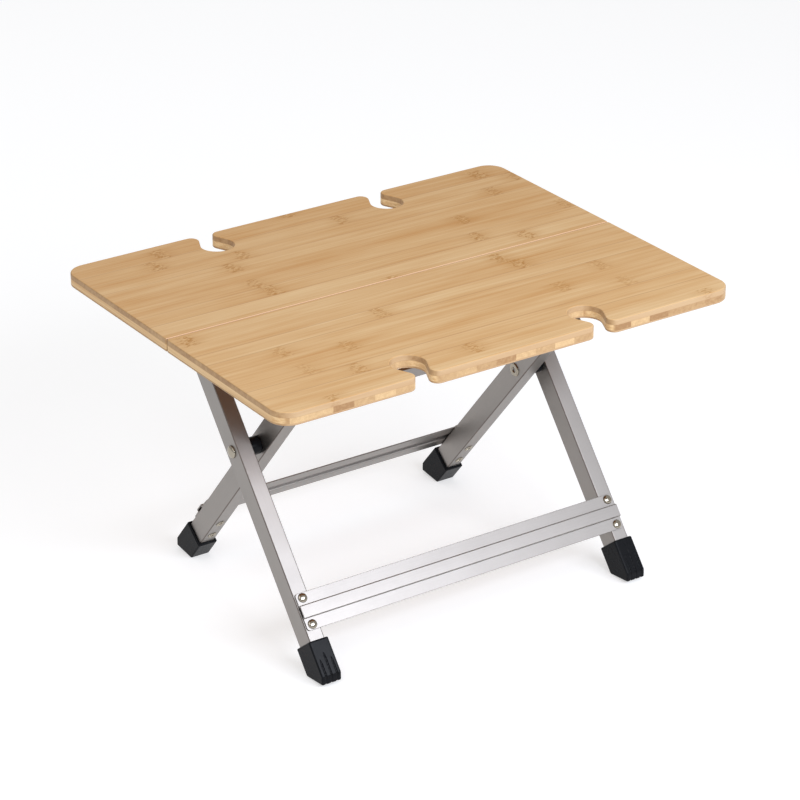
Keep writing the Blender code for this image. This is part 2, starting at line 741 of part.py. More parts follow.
def make_leaf(bench, name, x, side, parent, drop):
    """One leaf: flange under the panel, web down to the axis, and its knuckles."""
    top = UNDERSIDE - GAP - drop
    axis_z = AXIS_HEIGHT - drop
    web_near = HINGE_WEB_IN
    web_far = HINGE_WEB_IN + SHEET
    outline = [
        (web_near, top),
        (web_near + HINGE_LEAF, top),
        (web_near + HINGE_LEAF, top - SHEET),
        (web_far, top - SHEET),
        (web_far, axis_z),
        (web_near, axis_z),
    ]
    outline = [(side * y, z) for y, z in outline]
    leaf = bench.plate(name, [outline], HINGE_LENGTH, "zinc", parent, (x, 0, 0), (QUARTER, 0, QUARTER))
    end = HINGE_LENGTH / 2
    middle = (-KNUCKLE_HALF, KNUCKLE_HALF)
    ends = ((-end, -KNUCKLE_HALF - GAP), (KNUCKLE_HALF + GAP, end))
    own, other = (ends, (middle,)) if side < 0 else ((middle,), ends)
    for i, (low, high) in enumerate(own):
        place = (x + (low + high) / 2, 0, axis_z)
        knuckle = bench.rod(f"{name}_knuckle_{i}", KNUCKLE_R, high - low, parent, place, (0, QUARTER, 0))
        boolean(leaf, knuckle, "UNION")
    for i, (low, high) in enumerate(other):
        low = low - GAP if low > -end else low - OVERCUT
        high = high + GAP if high < end else high + OVERCUT
        notch = bench.block(
            f"{name}_notch_{i}",
            (x + low, -NOTCH_HALF, axis_z - NOTCH_HALF),
            (x + high, NOTCH_HALF, axis_z + NOTCH_RISE),
            parent,
        )
        boolean(leaf, notch)
    hole = bench.rod(
        f"{name}_bore", HINGE_PIN_R + GAP, HINGE_LENGTH + 4 * OVERCUT, parent, (x, 0, axis_z), (0, QUARTER, 0)
    )
    boolean(leaf, hole)


def make_hinge(bench, hand, sign, seam_axis):
    """Both leaves and the pin of one seam hinge."""
    x = sign * HINGE_X
    make_leaf(bench, f"seam_hinge_front_leaf_{hand}", x, -1, None, 0)
    make_leaf(bench, f"seam_hinge_rear_leaf_{hand}", x, 1, seam_axis, AXIS_HEIGHT)
    end = HINGE_LENGTH / 2 + GAP
    profile = [
        (0, end + HINGE_PIN_HEAD_H),
        (HINGE_PIN_HEAD_R, end + HINGE_PIN_HEAD_H),
        (HINGE_PIN_HEAD_R, end),
        (HINGE_PIN_R, end),
        (HINGE_PIN_R, -end),
        (HINGE_PIN_HEAD_R, -end),
        (HINGE_PIN_HEAD_R, -end - HINGE_PIN_HEAD_H),
        (0, -end - HINGE_PIN_HEAD_H),
    ]
    bench.turned(f"seam_hinge_pin_{hand}", profile, "zinc", None, (x, 0, AXIS_HEIGHT), (0, QUARTER, 0))


def main():
    """Build the table."""
    clear_scene()
    bench = Bench()
    seam_axis = bench.empty("seam_axis", (0, 0, AXIS_HEIGHT), (0, 0, 0))
    outer_axis = bench.empty("outer_frame_axis", (0, PIN_Y, 0), (-LEG_LEAN, 0, 0), seam_axis)
    inner_axis = bench.empty("inner_frame_axis", (0, -PIN_Y, AXIS_HEIGHT), (LEG_LEAN, 0, 0))

    make_panel(bench, "front_panel", -1, None, 0)
    make_panel(bench, "rear_panel", 1, seam_axis, AXIS_HEIGHT)

    outer = Frame(bench, "outer", OUTER_LEG_X, -1, 1, outer_axis)
    inner = Frame(bench, "inner", INNER_LEG_X, 1, -1, inner_axis)
    outer.make_all()
    inner.make_all()
    for hand, sign in (("left", -1), ("right", 1)):
        make_crossing(bench, hand, sign, outer_axis, inner_axis)
        make_bracket(bench, outer, hand, sign, 1, seam_axis, AXIS_HEIGHT)
        make_bracket(bench, inner, hand, sign, -1, None, 0)
        make_hinge(bench, hand, sign, seam_axis)
    bpy.context.view_layer.update()


main()
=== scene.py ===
"""Looks of a folding side table: bamboo panels on two crossed aluminium leg frames.

Metres, +Z up, in the part's own frame: +X runs along the long edge and +Y to the rear.
A leg frame's pieces are made about its top pins, with local Z up along the legs and local Y square
to the faces that carry the crossbars. A station is a distance from the crossing towards the foot.
"""
import json
import logging
import math
from dataclasses import dataclass, field
from enum import Enum
from typing import Any, Callable, Sequence

import bmesh
import bpy
from mathutils import Matrix, Vector


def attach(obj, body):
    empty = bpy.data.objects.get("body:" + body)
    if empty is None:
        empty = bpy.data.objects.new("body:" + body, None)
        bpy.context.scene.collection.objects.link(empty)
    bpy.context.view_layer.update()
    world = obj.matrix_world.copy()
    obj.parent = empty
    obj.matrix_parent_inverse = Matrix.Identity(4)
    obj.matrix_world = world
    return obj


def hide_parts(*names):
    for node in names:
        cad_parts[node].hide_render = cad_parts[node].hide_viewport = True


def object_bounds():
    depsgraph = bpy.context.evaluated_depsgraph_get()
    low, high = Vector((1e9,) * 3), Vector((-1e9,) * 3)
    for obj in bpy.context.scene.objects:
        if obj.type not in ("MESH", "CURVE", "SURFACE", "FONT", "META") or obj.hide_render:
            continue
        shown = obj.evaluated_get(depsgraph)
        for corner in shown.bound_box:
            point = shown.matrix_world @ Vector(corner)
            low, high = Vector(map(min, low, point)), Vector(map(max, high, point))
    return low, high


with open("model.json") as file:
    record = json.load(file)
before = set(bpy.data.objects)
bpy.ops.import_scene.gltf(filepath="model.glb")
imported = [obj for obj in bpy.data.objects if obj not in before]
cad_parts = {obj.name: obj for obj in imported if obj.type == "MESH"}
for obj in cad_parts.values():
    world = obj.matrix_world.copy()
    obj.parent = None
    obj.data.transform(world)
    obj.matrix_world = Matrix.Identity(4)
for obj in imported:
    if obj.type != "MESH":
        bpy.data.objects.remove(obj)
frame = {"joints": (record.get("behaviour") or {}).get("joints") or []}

CAD_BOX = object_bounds()
LOG = logging.getLogger("folding_side_table")

Colour = tuple[float, float, float, float]
Outline = list[tuple[float, float]]
Lay = Callable[[float, float, float], Vector]

QUARTER = math.pi / 2
LEG_LEAN = math.radians(39.55)
GAP = 0.0003
FINE = 0.00001
SCREW_PROUD = 0.0001


# ---------------------------------------------------------------- names of choices


class Hand(Enum):
    """The end of the table that a piece is at."""

    LEFT = -1
    RIGHT = 1

    @property
    def word(self) -> str:
        """The word used in piece names."""
        return self.name.lower()


class Side(Enum):
    """The half of the top, seen from its seam."""

    FRONT = -1
    REAR = 1

    @property
    def word(self) -> str:
        """The word used in piece names."""
        return self.name.lower()

    @property
    def body(self) -> str:
        """The moving body of this half."""
        return f"{self.word}_panel"


class Slot(Enum):
    """Material slots of the part."""

    BAMBOO = "bamboo"
    ALUMINIUM = "anodised_aluminium"
    NYLON = "black_nylon"
    NICKEL = "nickel_rivet"
    ZINC = "zinc_steel"


class Grain(Enum):
    """Local direction that drawing lines run in."""

    ALONG_X = 0
    ALONG_Z = 2


# ---------------------------------------------------------------- shader graphs


class Graph:
    """Adds and joins shader nodes in one node tree."""

    def __init__(self, tree: bpy.types.NodeTree) -> None:
        """Keep the tree that nodes go into."""
        self.tree = tree

    def node(self, kind: str, **settings: Any) -> bpy.types.Node:
        """Add a node and set its properties.

        Args:
            kind: The node's type name.
            **settings: Properties to set on it.

        Returns:
            The new node.
        """
        made = self.tree.nodes.new(kind)
        for name, value in settings.items():
            setattr(made, name, value)
        return made

    def feed(self, socket: bpy.types.NodeSocket, value: Any) -> None:
        """Link a socket to an output, or set it to a constant.

        Args:
            socket: The input to feed.
            value: An output socket, or a plain value.
        """
        if isinstance(value, bpy.types.NodeSocket):
            self.tree.links.new(value, socket)
        else:
            socket.default_value = value

    def math(self, operation: str, *values: Any, clamp: bool = False) -> bpy.types.NodeSocket:
        """One Math node.

        Args:
            operation: What it computes.
            *values: Its inputs, as sockets or numbers.
            clamp: Whether the result is kept between 0 and 1.

        Returns:
            Its result.
        """
        made = self.node("ShaderNodeMath", operation=operation, use_clamp=clamp)
        for socket, value in zip(made.inputs, values):
            self.feed(socket, value)
        return made.outputs[0]

    def mix(self, factor: Any, low: Any, high: Any, blend: str = "MIX") -> bpy.types.NodeSocket:
        """Mix two colours.

        Args:
            factor: Share of the second colour.
            low: First colour.
            high: Second colour.
            blend: Blend type.

        Returns:
            The mixed colour.
        """
        made = self.node("ShaderNodeMix", data_type="RGBA", blend_type=blend)
        for index, value in ((0, factor), (6, low), (7, high)):
            self.feed(made.inputs[index], value)
        return made.outputs[2]

    def step(self, value: Any, low: float, high: float) -> bpy.types.NodeSocket:
        """A smooth step from 0 at low to 1 at high; it falls instead when low is above high."""
        made = self.node("ShaderNodeMapRange", interpolation_type="SMOOTHSTEP")
        ends = (low, high, 0.0, 1.0) if low < high else (high, low, 1.0, 0.0)
        for socket, number in zip(made.inputs, (value, *ends)):
            self.feed(socket, number)
        return made.outputs[0]

    def stretch(self, vector: Any, scale: tuple[float, float, float]) -> bpy.types.NodeSocket:
        """Scale a position by a different number along each axis."""
        made = self.node("ShaderNodeVectorMath", operation="MULTIPLY")
        self.feed(made.inputs[0], vector)
        self.feed(made.inputs[1], scale)
        return made.outputs[0]

    def noise(self, vector: Any, scale: float = 1.0, detail: float = 2.0, twist: float = 0.0) -> Any:
        """Fractal noise about 0.5 at a position."""
        made = self.node("ShaderNodeTexNoise")
        wanted = {"Vector": vector, "Scale": scale, "Detail": detail, "Distortion": twist}
        for name, value in wanted.items():
            self.feed(made.inputs[name], value)
        return made.outputs[0]

    def random(self, value: Any) -> bpy.types.NodeSocket:
        """A random number for each input number."""
        made = self.node("ShaderNodeTexWhiteNoise", noise_dimensions="1D")
        self.feed(made.inputs["W"], value)
        return made.outputs[0]

    def split(self, vector: Any) -> list[bpy.types.NodeSocket]:
        """The three parts of a vector."""
        made = self.node("ShaderNodeSeparateXYZ")
        self.feed(made.inputs[0], vector)
        return list(made.outputs)

    def join(self, x: Any, y: Any, z: Any) -> bpy.types.NodeSocket:
        """A vector from its three parts."""
        made = self.node("ShaderNodeCombineXYZ")
        for socket, value in zip(made.inputs, (x, y, z)):
            self.feed(socket, value)
        return made.outputs[0]

    def group(self, tree: bpy.types.NodeTree, **values: Any) -> bpy.types.Node:
        """Place a node group and feed its inputs; an underscore in a name stands for a space."""
        made = self.node("ShaderNodeGroup", node_tree=tree)
        for name, value in values.items():
            self.feed(made.inputs[name.replace("_", " ")], value)
        return made


@dataclass
class EffectGroup:
    """A shader node group under construction."""

    name: str
    inputs: Sequence[tuple[str, str, Any]]
    outputs: Sequence[tuple[str, str]]
    tree: bpy.types.NodeTree = field(init=False)
    graph: Graph = field(init=False)
    given: bpy.types.Node = field(init=False)
    result: bpy.types.Node = field(init=False)

    def __post_init__(self) -> None:
        """Make the tree with its named sockets."""
        self.tree = bpy.data.node_groups.new(self.name, "ShaderNodeTree")
        for label, kind, default in self.inputs:
            socket = self.tree.interface.new_socket(label, in_out="INPUT", socket_type=f"NodeSocket{kind}")
            if default is not None:
                socket.default_value = default
        for label, kind in self.outputs:
            self.tree.interface.new_socket(label, in_out="OUTPUT", socket_type=f"NodeSocket{kind}")
        self.graph = Graph(self.tree)
        self.given = self.graph.node("NodeGroupInput")
        self.result = self.graph.node("NodeGroupOutput")

    def take(self, label: str) -> bpy.types.NodeSocket:
        """One of the group's inputs."""
        return self.given.outputs[label]

    def put(self, label: str, value: Any) -> None:
        """Feed one of the group's outputs."""
        self.graph.feed(self.result.inputs[label], value)


@dataclass(frozen=True)
class BambooColours:
    """Colours of split, laminated and lacquered bamboo, as red, green, blue and alpha, with painted light
    among them: painted shade under the top and in the seam, a painted highlight on the seam's arris, and a
    painted highlight with the rubbed wear along the outer edges.
    """

    strip_dark: Colour = (0.510, 0.252, 0.070, 1.0)
    strip_light: Colour = (0.675, 0.458, 0.232, 1.0)
    culm_smudge: Colour = (0.450, 0.210, 0.046, 1.0)
    culm_fleck: Colour = (0.760, 0.540, 0.270, 1.0)
    culm_curl: Colour = (0.400, 0.175, 0.026, 1.0)
    end_dark: Colour = (0.320, 0.178, 0.078, 1.0)
    end_light: Colour = (0.600, 0.410, 0.212, 1.0)
    fibre_end: Colour = (0.260, 0.115, 0.040, 1.0)
    strip_joint: Colour = (0.360, 0.170, 0.060, 1.0)
    cut_face: Colour = (0.380, 0.265, 0.167, 1.0)
    core_dark: Colour = (0.550, 0.330, 0.142, 1.0)
    core_light: Colour = (0.710, 0.500, 0.265, 1.0)
    glue: Colour = (0.300, 0.150, 0.060, 1.0)
    # painted shade: multiplies the lower face darker and redder, standing in for the shade under the top
    underside: Colour = (0.580, 0.400, 0.290, 1.0)
    # painted highlight along the seam's eased arris, where the key light would catch it
    seam_arris: Colour = (0.800, 0.520, 0.330, 1.0)
    # painted shade inside the seam gap
    seam_shade: Colour = (0.420, 0.320, 0.250, 1.0)
    # rubbed wear and a painted highlight along the eased outer edges
    rubbed: Colour = (0.820, 0.600, 0.400, 1.0)


@dataclass(frozen=True)
class CulmJoint:
    """Sizes of the dark mark where a culm joint crosses a strip, and the strength of its parts."""

    band_edge: float = 0.0088
    band_full: float = 0.0040
    smudge_edge: float = 0.026
    smudge_full: float = 0.002
    wander: float = 0.020
    smudge: float = 0.40
    fleck: float = 0.45
    curl: float = 1.15
    sunk: float = 0.00006


TINT = BambooColours()
CULM = CulmJoint()
THREAD_HEIGHT = 0.00003


class Effects:
    """Shader node groups that several materials share."""

    def __init__(self) -> None:
        """Build every group once."""
        self.fibres = self._fibres()
        self.strip_face = self._strip_face()
        self.end_grain = self._end_grain()
        self.edge_wear = self._edge_wear()
        self.handling = self._handling()

    @staticmethod
    def _fibres() -> bpy.types.NodeTree:
        """Long streaks along the given position's X, in three widths.

        Returns:
            The group, whose Value is near 0.5.
        """
        made = EffectGroup(
            "long_fibres",
            (("Vector", "Vector", None), ("Seed", "Float", 0.0), ("Fineness", "Float", 1.0)),
            (("Value", "Float"), ("Threads", "Float")),
        )
        graph = made.graph
        x, y, z = graph.split(made.take("Vector"))
        x = graph.math("ADD", x, made.take("Seed"))
        y = graph.math("MULTIPLY", y, made.take("Fineness"))
        z = graph.math("MULTIPLY", z, made.take("Fineness"))
        place = graph.join(x, y, z)
        broad = graph.noise(graph.stretch(place, (4.5, 210.0, 210.0)), detail=3.0)
        middle = graph.noise(graph.stretch(place, (8.0, 720.0, 720.0)), detail=2.0)
        threads = graph.noise(graph.stretch(place, (30.0, 2600.0, 2600.0)), detail=1.0)
        value = graph.math("MULTIPLY", broad, 0.45)
        value = graph.math("MULTIPLY_ADD", middle, 0.35, value)
        value = graph.math("MULTIPLY_ADD", threads, 0.20, value)
        made.put("Value", value)
        made.put("Threads", threads)
        return made.tree

    def _strip_face(self) -> bpy.types.NodeTree:
        """Long face of a bamboo strip, with its tone, fibres and culm joints.

        Returns:
            The group, whose Height is in metres.
        """
        made = EffectGroup(
            "bamboo_strip_face",
            (
                ("Vector", "Vector", None),
                ("Seed", "Float", 0.0),
                ("Tone", "Float", 0.5),
                ("Joint At", "Float", 0.0),
                ("Joint Pitch", "Float", 0.3),
                ("Joint Depth", "Float", 1.0),
            ),
            (("Color", "Color"), ("Height", "Float")),
        )
        graph = made.graph
        place = made.take("Vector")
        x = graph.split(place)[0]
        streaks = graph.group(self.fibres, Vector=place, Seed=made.take("Seed"))
        cloud = graph.noise(graph.stretch(place, (9.0, 55.0, 55.0)), detail=2.0)
        tone = graph.math("MULTIPLY", graph.math("SUBTRACT", streaks.outputs["Value"], 0.5), 2.2)
        tone = graph.math("MULTIPLY_ADD", graph.math("SUBTRACT", cloud, 0.5), 0.8, tone)
        tone = graph.math("ADD", tone, made.take("Tone"), clamp=True)
        colour = graph.mix(tone, TINT.strip_dark, TINT.strip_light)

        pitch = made.take("Joint Pitch")
        turns = graph.math("DIVIDE", graph.math("SUBTRACT", x, made.take("Joint At")), pitch)
        away = graph.math("SUBTRACT", graph.math("FRACT", graph.math("ADD", turns, 0.5)), 0.5)
        away = graph.math("MULTIPLY", away, pitch)
        wander = graph.noise(graph.stretch(place, (60.0, 320.0, 320.0)), detail=4.0)
        away = graph.math("MULTIPLY_ADD", graph.math("SUBTRACT", wander, 0.5), CULM.wander, away)
        distance = graph.math("ABSOLUTE", away)
        band = graph.step(distance, CULM.band_edge, CULM.band_full)
        smudge = graph.step(distance, CULM.smudge_edge, CULM.smudge_full)
        curls = graph.noise(graph.stretch(place, (190.0, 620.0, 620.0)), detail=5.0, twist=0.9)
        bright = graph.math("MULTIPLY", graph.step(curls, 0.47, 0.36), band)
        curls = graph.step(curls, 0.47, 0.57)
        depth = made.take("Joint Depth")
        mark = graph.math("MULTIPLY", graph.math("MULTIPLY", band, curls), depth)
        smudge = graph.math("MULTIPLY", graph.math("MULTIPLY", smudge, CULM.smudge), depth)
        colour = graph.mix(smudge, colour, TINT.culm_smudge)
        fleck = graph.math("MULTIPLY", graph.math("MULTIPLY", bright, CULM.fleck), depth)
        colour = graph.mix(fleck, colour, TINT.culm_fleck)
        curl = graph.math("MULTIPLY", mark, CULM.curl, clamp=True)
        colour = graph.mix(curl, colour, TINT.culm_curl)
        height = graph.math("MULTIPLY", streaks.outputs["Threads"], THREAD_HEIGHT)
        height = graph.math("MULTIPLY_ADD", mark, -CULM.sunk, height)
        made.put("Color", colour)
        made.put("Height", height)
        return made.tree

    @staticmethod
    def _end_grain() -> bpy.types.NodeTree:
        """Cut end of a bamboo strip, speckled with the ends of its fibre bundles.

        Returns:
            The group.
        """
        made = EffectGroup(
            "bamboo_end_grain",
            (("Vector", "Vector", None), ("Tone", "Float", 0.5)),
            (("Color", "Color"),),
        )
        graph = made.graph
        cells = graph.node("ShaderNodeTexVoronoi", feature="F1")
        graph.feed(cells.inputs["Vector"], made.take("Vector"))
        graph.feed(cells.inputs["Scale"], 1500.0)
        specks = graph.step(cells.outputs["Distance"], 0.42, 0.16)
        cloud = graph.noise(made.take("Vector"), 260.0, 2.0)
        tone = graph.math("MULTIPLY_ADD", graph.math("SUBTRACT", cloud, 0.5), 0.9, made.take("Tone"))
        tone = graph.math("MINIMUM", graph.math("MAXIMUM", tone, 0.0), 1.0)
        colour = graph.mix(tone, TINT.end_dark, TINT.end_light)
        speck_share = graph.math("MULTIPLY", specks, 0.38)
        made.put("Color", graph.mix(speck_share, colour, TINT.fibre_end))
        return made.tree

    @staticmethod
    def _edge_wear() -> bpy.types.NodeTree:
        """Share of a surface along its outer edges, in patches: rubbed wear, and where a material paints a
        highlight or a dark reflection on its edges.

        Returns:
            The group.
        """
        made = EffectGroup(
            "edge_wear",
            (("Vector", "Vector", None), ("Radius", "Float", 0.001), ("Amount", "Float", 0.5)),
            (("Mask", "Float"),),
        )
        graph = made.graph
        rounded = graph.node("ShaderNodeBevel", samples=4)
        graph.feed(rounded.inputs["Radius"], made.take("Radius"))
        real = graph.node("ShaderNodeNewGeometry")
        product = graph.node("ShaderNodeVectorMath", operation="DOT_PRODUCT")
        graph.feed(product.inputs[0], rounded.outputs[0])
        graph.feed(product.inputs[1], real.outputs["Normal"])
        bend = graph.math("SUBTRACT", 1.0, product.outputs["Value"])
        edge = graph.step(bend, 0.01, 0.16)
        patches = graph.step(graph.noise(made.take("Vector"), 190.0, 4.0), 0.38, 0.66)
        rubbed = graph.math("MULTIPLY", edge, patches)
        made.put("Mask", graph.math("MULTIPLY", rubbed, made.take("Amount"), clamp=True))
        return made.tree

    @staticmethod
    def _handling() -> bpy.types.NodeTree:
        """Uneven gloss from hands and cloths.

        Returns:
            The group, whose Roughness is near the one it is given.
        """
        made = EffectGroup(
            "handling_gloss",
            (("Vector", "Vector", None), ("Roughness", "Float", 0.4), ("Spread", "Float", 0.1)),
            (("Roughness", "Float"),),
        )
        graph = made.graph
        broad = graph.noise(made.take("Vector"), 22.0, 3.0)
        small = graph.noise(made.take("Vector"), 420.0, 2.0)
        mean = graph.math("MULTIPLY_ADD", small, 0.35, graph.math("MULTIPLY", broad, 0.65))
        swing = graph.math("MULTIPLY", graph.math("SUBTRACT", mean, 0.5), made.take("Spread"))
        made.put("Roughness", graph.math("MULTIPLY_ADD", swing, 2.0, made.take("Roughness")))
        return made.tree


# ---------------------------------------------------------------- finishes


@dataclass(frozen=True)
class Finish:
    """What every finish has: a name, its slot, and a Principled shader."""

    name: str
    slot: Slot
    roughness: float
    metallic: float = 0.0

    def start(self) -> tuple[bpy.types.Material, Graph, bpy.types.Node]:
        """Make the material.

        Returns:
            The material, its graph and its Principled shader.
        """
        made = bpy.data.materials.new(self.name)
        made.use_nodes = True
        graph = Graph(made.node_tree)
        shader = made.node_tree.nodes["Principled BSDF"]
        shader.inputs["Roughness"].default_value = self.roughness
        shader.inputs["Metallic"].default_value = self.metallic
        return made, graph, shader

    @staticmethod
    def raise_surface(graph: Graph, shader: bpy.types.Node, height: Any, strength: float) -> None:
        """Bump the surface by a height in metres.

        Args:
            graph: The material's graph.
            shader: Its Principled shader.
            height: Height socket.
            strength: Share of the bump to show.
        """
        bump = graph.node("ShaderNodeBump")
        bump.inputs["Strength"].default_value = strength
        bump.inputs["Distance"].default_value = 1.0
        graph.feed(bump.inputs["Height"], height)
        graph.feed(shader.inputs["Normal"], bump.outputs[0])


@dataclass(frozen=True)
class Strip:
    """One bamboo strip of a panel's face, counted from the seam.

    tone runs from 0, dark, to 1, light. joint_at is where a culm joint crosses it, and joint_pitch how
    far apart its joints are, both in metres. joint_depth is how dark they are.
    """

    tone: float
    joint_at: float
    joint_pitch: float
    joint_depth: float = 0.7


@dataclass(frozen=True)
class BambooFinish(Finish):
    """Three-layer laminated bamboo under a clear satin lacquer."""

    side: Side = Side.FRONT
    strips: tuple[Strip, ...] = ()
    first_joint: float = 0.005
    strip_width: float = 0.0229
    core_strip_width: float = 0.0225
    top: float = 0.321
    thickness: float = 0.0137
    core_low: float = 0.17
    core_high: float = 0.60
    core_start: float = 0.3
    core_shift: float = 0.006
    glue_edge: float = 0.022
    glue_full: float = 0.006
    glue_share: float = 0.42
    # depth and widths of the painted shade in the seam gap
    seam_deep: float = 0.0008
    seam_line: tuple[float, float] = (0.0008, 0.0004)
    # widths of the painted highlight on the seam's arris
    seam_arris: tuple[float, float] = (0.0018, 0.0011)
    joint_line: tuple[float, float] = (0.030, 0.008)
    joint_share: float = 0.55
    # radius and share of the rubbed wear and painted highlight along the edges
    rub_radius: float = 0.0012
    rub: float = 0.5
    spread: float = 0.12
    specular: float = 0.30
    longest_pitch: float = 0.6

    def plan(self, graph: Graph, index: Any) -> tuple[Any, Any, Any, Any]:
        """Look each strip's values up by its number.

        Args:
            graph: The material's graph.
            index: The strip's number.

        Returns:
            Tone, joint place, joint pitch and joint depth of that strip.
        """
        count = len(self.strips)
        where = graph.math("DIVIDE", graph.math("ADD", index, 0.5), float(count))
        made = graph.node("ShaderNodeValToRGB")
        ramp = made.color_ramp
        ramp.interpolation = "CONSTANT"
        for number, strip in enumerate(self.strips):
            stop = ramp.elements[0] if number == 0 else ramp.elements.new(number / count)
            values = (strip.tone, 0.5 + strip.joint_at, strip.joint_pitch / self.longest_pitch)
            stop.color = (*values, strip.joint_depth)
        ramp.elements.remove(ramp.elements[len(self.strips)])
        graph.feed(made.inputs[0], where)
        parts = graph.node("ShaderNodeSeparateColor")
        graph.feed(parts.inputs[0], made.outputs["Color"])
        red, green, blue = parts.outputs
        joint_at = graph.math("SUBTRACT", green, 0.5)
        pitch = graph.math("MULTIPLY", blue, self.longest_pitch)
        return red, joint_at, pitch, made.outputs["Alpha"]

    def face(self, graph: Graph, effects: Effects, place: Any) -> tuple[Any, Any, Any]:
        """The face layers' long grain, which runs along X.

        Args:
            graph: The material's graph.
            effects: The shared groups.
            place: Position on the panel.

        Returns:
            Colour, height and the strip's tone.
        """
        y = graph.split(place)[1]
        out = graph.math("MULTIPLY", y, float(self.side.value))
        count = graph.math("DIVIDE", graph.math("SUBTRACT", out, self.first_joint), self.strip_width)
        count = graph.math("ADD", count, 1.0)
        index = graph.math("FLOOR", count)
        tone, joint_at, pitch, depth = self.plan(graph, index)
        seed = graph.math("MULTIPLY", graph.random(graph.math("ADD", index, 7.3 + self.side.value)), 40.0)
        strip = graph.group(
            effects.strip_face,
            Vector=place,
            Seed=seed,
            Tone=tone,
            Joint_At=joint_at,
            Joint_Pitch=pitch,
            Joint_Depth=depth,
        )
        across = graph.math("FRACT", count)
        near = graph.math("MINIMUM", across, graph.math("SUBTRACT", 1.0, across))
        line = graph.step(near, *self.joint_line)
        visible = graph.random(graph.math("ADD", graph.math("ROUND", count), 3.7 * self.side.value))
        visible = graph.math("MULTIPLY", graph.step(visible, 0.25, 0.95), self.joint_share)
        line = graph.math("MULTIPLY", line, visible)
        colour = graph.mix(line, strip.outputs["Color"], TINT.strip_joint)
        return colour, strip.outputs["Height"], tone

    def layers(self, graph: Graph, effects: Effects, place: Any, face: Any, tone: Any) -> Any:
        """The cut edge, with its two face layers about a core whose grain runs along Y.

        Args:
            graph: The material's graph.
            effects: The shared groups.
            place: Position on the panel.
            face: Colour of the face layers' long grain.
            tone: Tone of the face strip.

        Returns:
            Colour of the edge.
        """
        x, y, z = graph.split(place)
        outward = graph.node("ShaderNodeTexCoord").outputs["Normal"]
        out_x, out_y, _ = graph.split(outward)
        across = graph.math("MULTIPLY", out_x, out_x)
        along = graph.math("MULTIPLY", out_y, out_y)
        total = graph.math("ADD", graph.math("ADD", across, along), 0.001)
        to_end = graph.step(graph.math("DIVIDE", across, total), 0.12, 0.62)

        face_end = graph.group(effects.end_grain, Vector=place, Tone=graph.math("MULTIPLY", tone, 0.55))
        pale = graph.mix(0.60, face, TINT.cut_face)
        face_layer = graph.mix(to_end, pale, face_end.outputs["Color"])

        shifted = graph.math("ADD", x, self.core_start + self.core_shift * self.side.value)
        core_count = graph.math("DIVIDE", shifted, self.core_strip_width)
        core_tone = graph.random(graph.math("FLOOR", core_count))
        core_end = graph.group(effects.end_grain, Vector=place, Tone=core_tone)
        turned = graph.join(y, x, z)
        core_long = graph.group(effects.fibres, Vector=turned, Seed=2.0, Fineness=1.4)
        core_value = graph.step(core_long.outputs["Value"], 0.36, 0.62)
        core_side = graph.mix(core_value, TINT.core_dark, TINT.core_light)
        core = graph.mix(to_end, core_end.outputs["Color"], core_side)

        level = graph.math("DIVIDE", graph.math("SUBTRACT", z, self.top - self.thickness), self.thickness)
        waver = graph.noise(graph.stretch(place, (14.0, 14.0, 14.0)), detail=1.0)
        level = graph.math("MULTIPLY_ADD", graph.math("SUBTRACT", waver, 0.5), 0.05, level)
        above = graph.step(level, self.core_low - 0.01, self.core_low + 0.01)
        below = graph.step(level, self.core_high + 0.01, self.core_high - 0.01)
        in_core = graph.math("MULTIPLY", above, below)
        colour = graph.mix(in_core, face_layer, core)
        lines = []
        for joint in (self.core_low, self.core_high):
            away = graph.math("ABSOLUTE", graph.math("SUBTRACT", level, joint))
            lines.append(graph.step(away, self.glue_edge, self.glue_full))
        glue = graph.math("MULTIPLY", graph.math("MAXIMUM", *lines), self.glue_share)
        return graph.mix(glue, colour, TINT.glue)

    def build(self, effects: Effects) -> bpy.types.Material:
        """Make the material.

        Args:
            effects: The shared groups.

        Returns:
            The material.
        """
        made, graph, shader = self.start()
        place = graph.node("ShaderNodeTexCoord").outputs["Object"]
        face, height, tone = self.face(graph, effects, place)
        edge = self.layers(graph, effects, place, face, tone)
        up = graph.split(graph.node("ShaderNodeTexCoord").outputs["Normal"])[2]
        flat = graph.step(graph.math("ABSOLUTE", up), 0.55, 0.9)
        colour = graph.mix(flat, edge, face)
        # painted shade: faces turned down are multiplied by the underside colour, as if in the shade under
        # the top
        below = graph.step(up, -0.4, -0.9)
        colour = graph.mix(below, colour, TINT.underside, "MULTIPLY")
        _, y, z = graph.split(place)
        to_seam = graph.math("ABSOLUTE", y)
        sunk = graph.step(z, self.top, self.top - self.seam_deep)
        in_seam = graph.math("MULTIPLY", graph.step(to_seam, *self.seam_line), sunk)
        # painted highlight: the eased arris beside the seam on the top is lightened, standing in for the
        # key light catching it
        arris = graph.math("MULTIPLY", graph.step(to_seam, *self.seam_arris), graph.step(up, 0.2, 0.5))
        arris = graph.math("MULTIPLY", arris, graph.step(up, 0.985, 0.93))
        colour = graph.mix(arris, colour, TINT.seam_arris)
        # painted shade: the seam's walls below the top are multiplied darker, standing in for the shade in
        # the narrow gap
        colour = graph.mix(in_seam, colour, TINT.seam_shade, "MULTIPLY")
        # rubbed wear and painted highlight: patches along the eased edges are lightened, partly worn,
        # partly standing in for the light they catch
        rub = graph.group(effects.edge_wear, Vector=place, Radius=self.rub_radius, Amount=self.rub)
        colour = graph.mix(rub.outputs["Mask"], colour, TINT.rubbed)
        gloss = graph.group(effects.handling, Vector=place, Roughness=self.roughness, Spread=self.spread)
        graph.feed(shader.inputs["Base Color"], colour)
        graph.feed(shader.inputs["Roughness"], gloss.outputs["Roughness"])
        shader.inputs["Specular IOR Level"].default_value = self.specular
        self.raise_surface(graph, shader, height, 0.5)
        return made


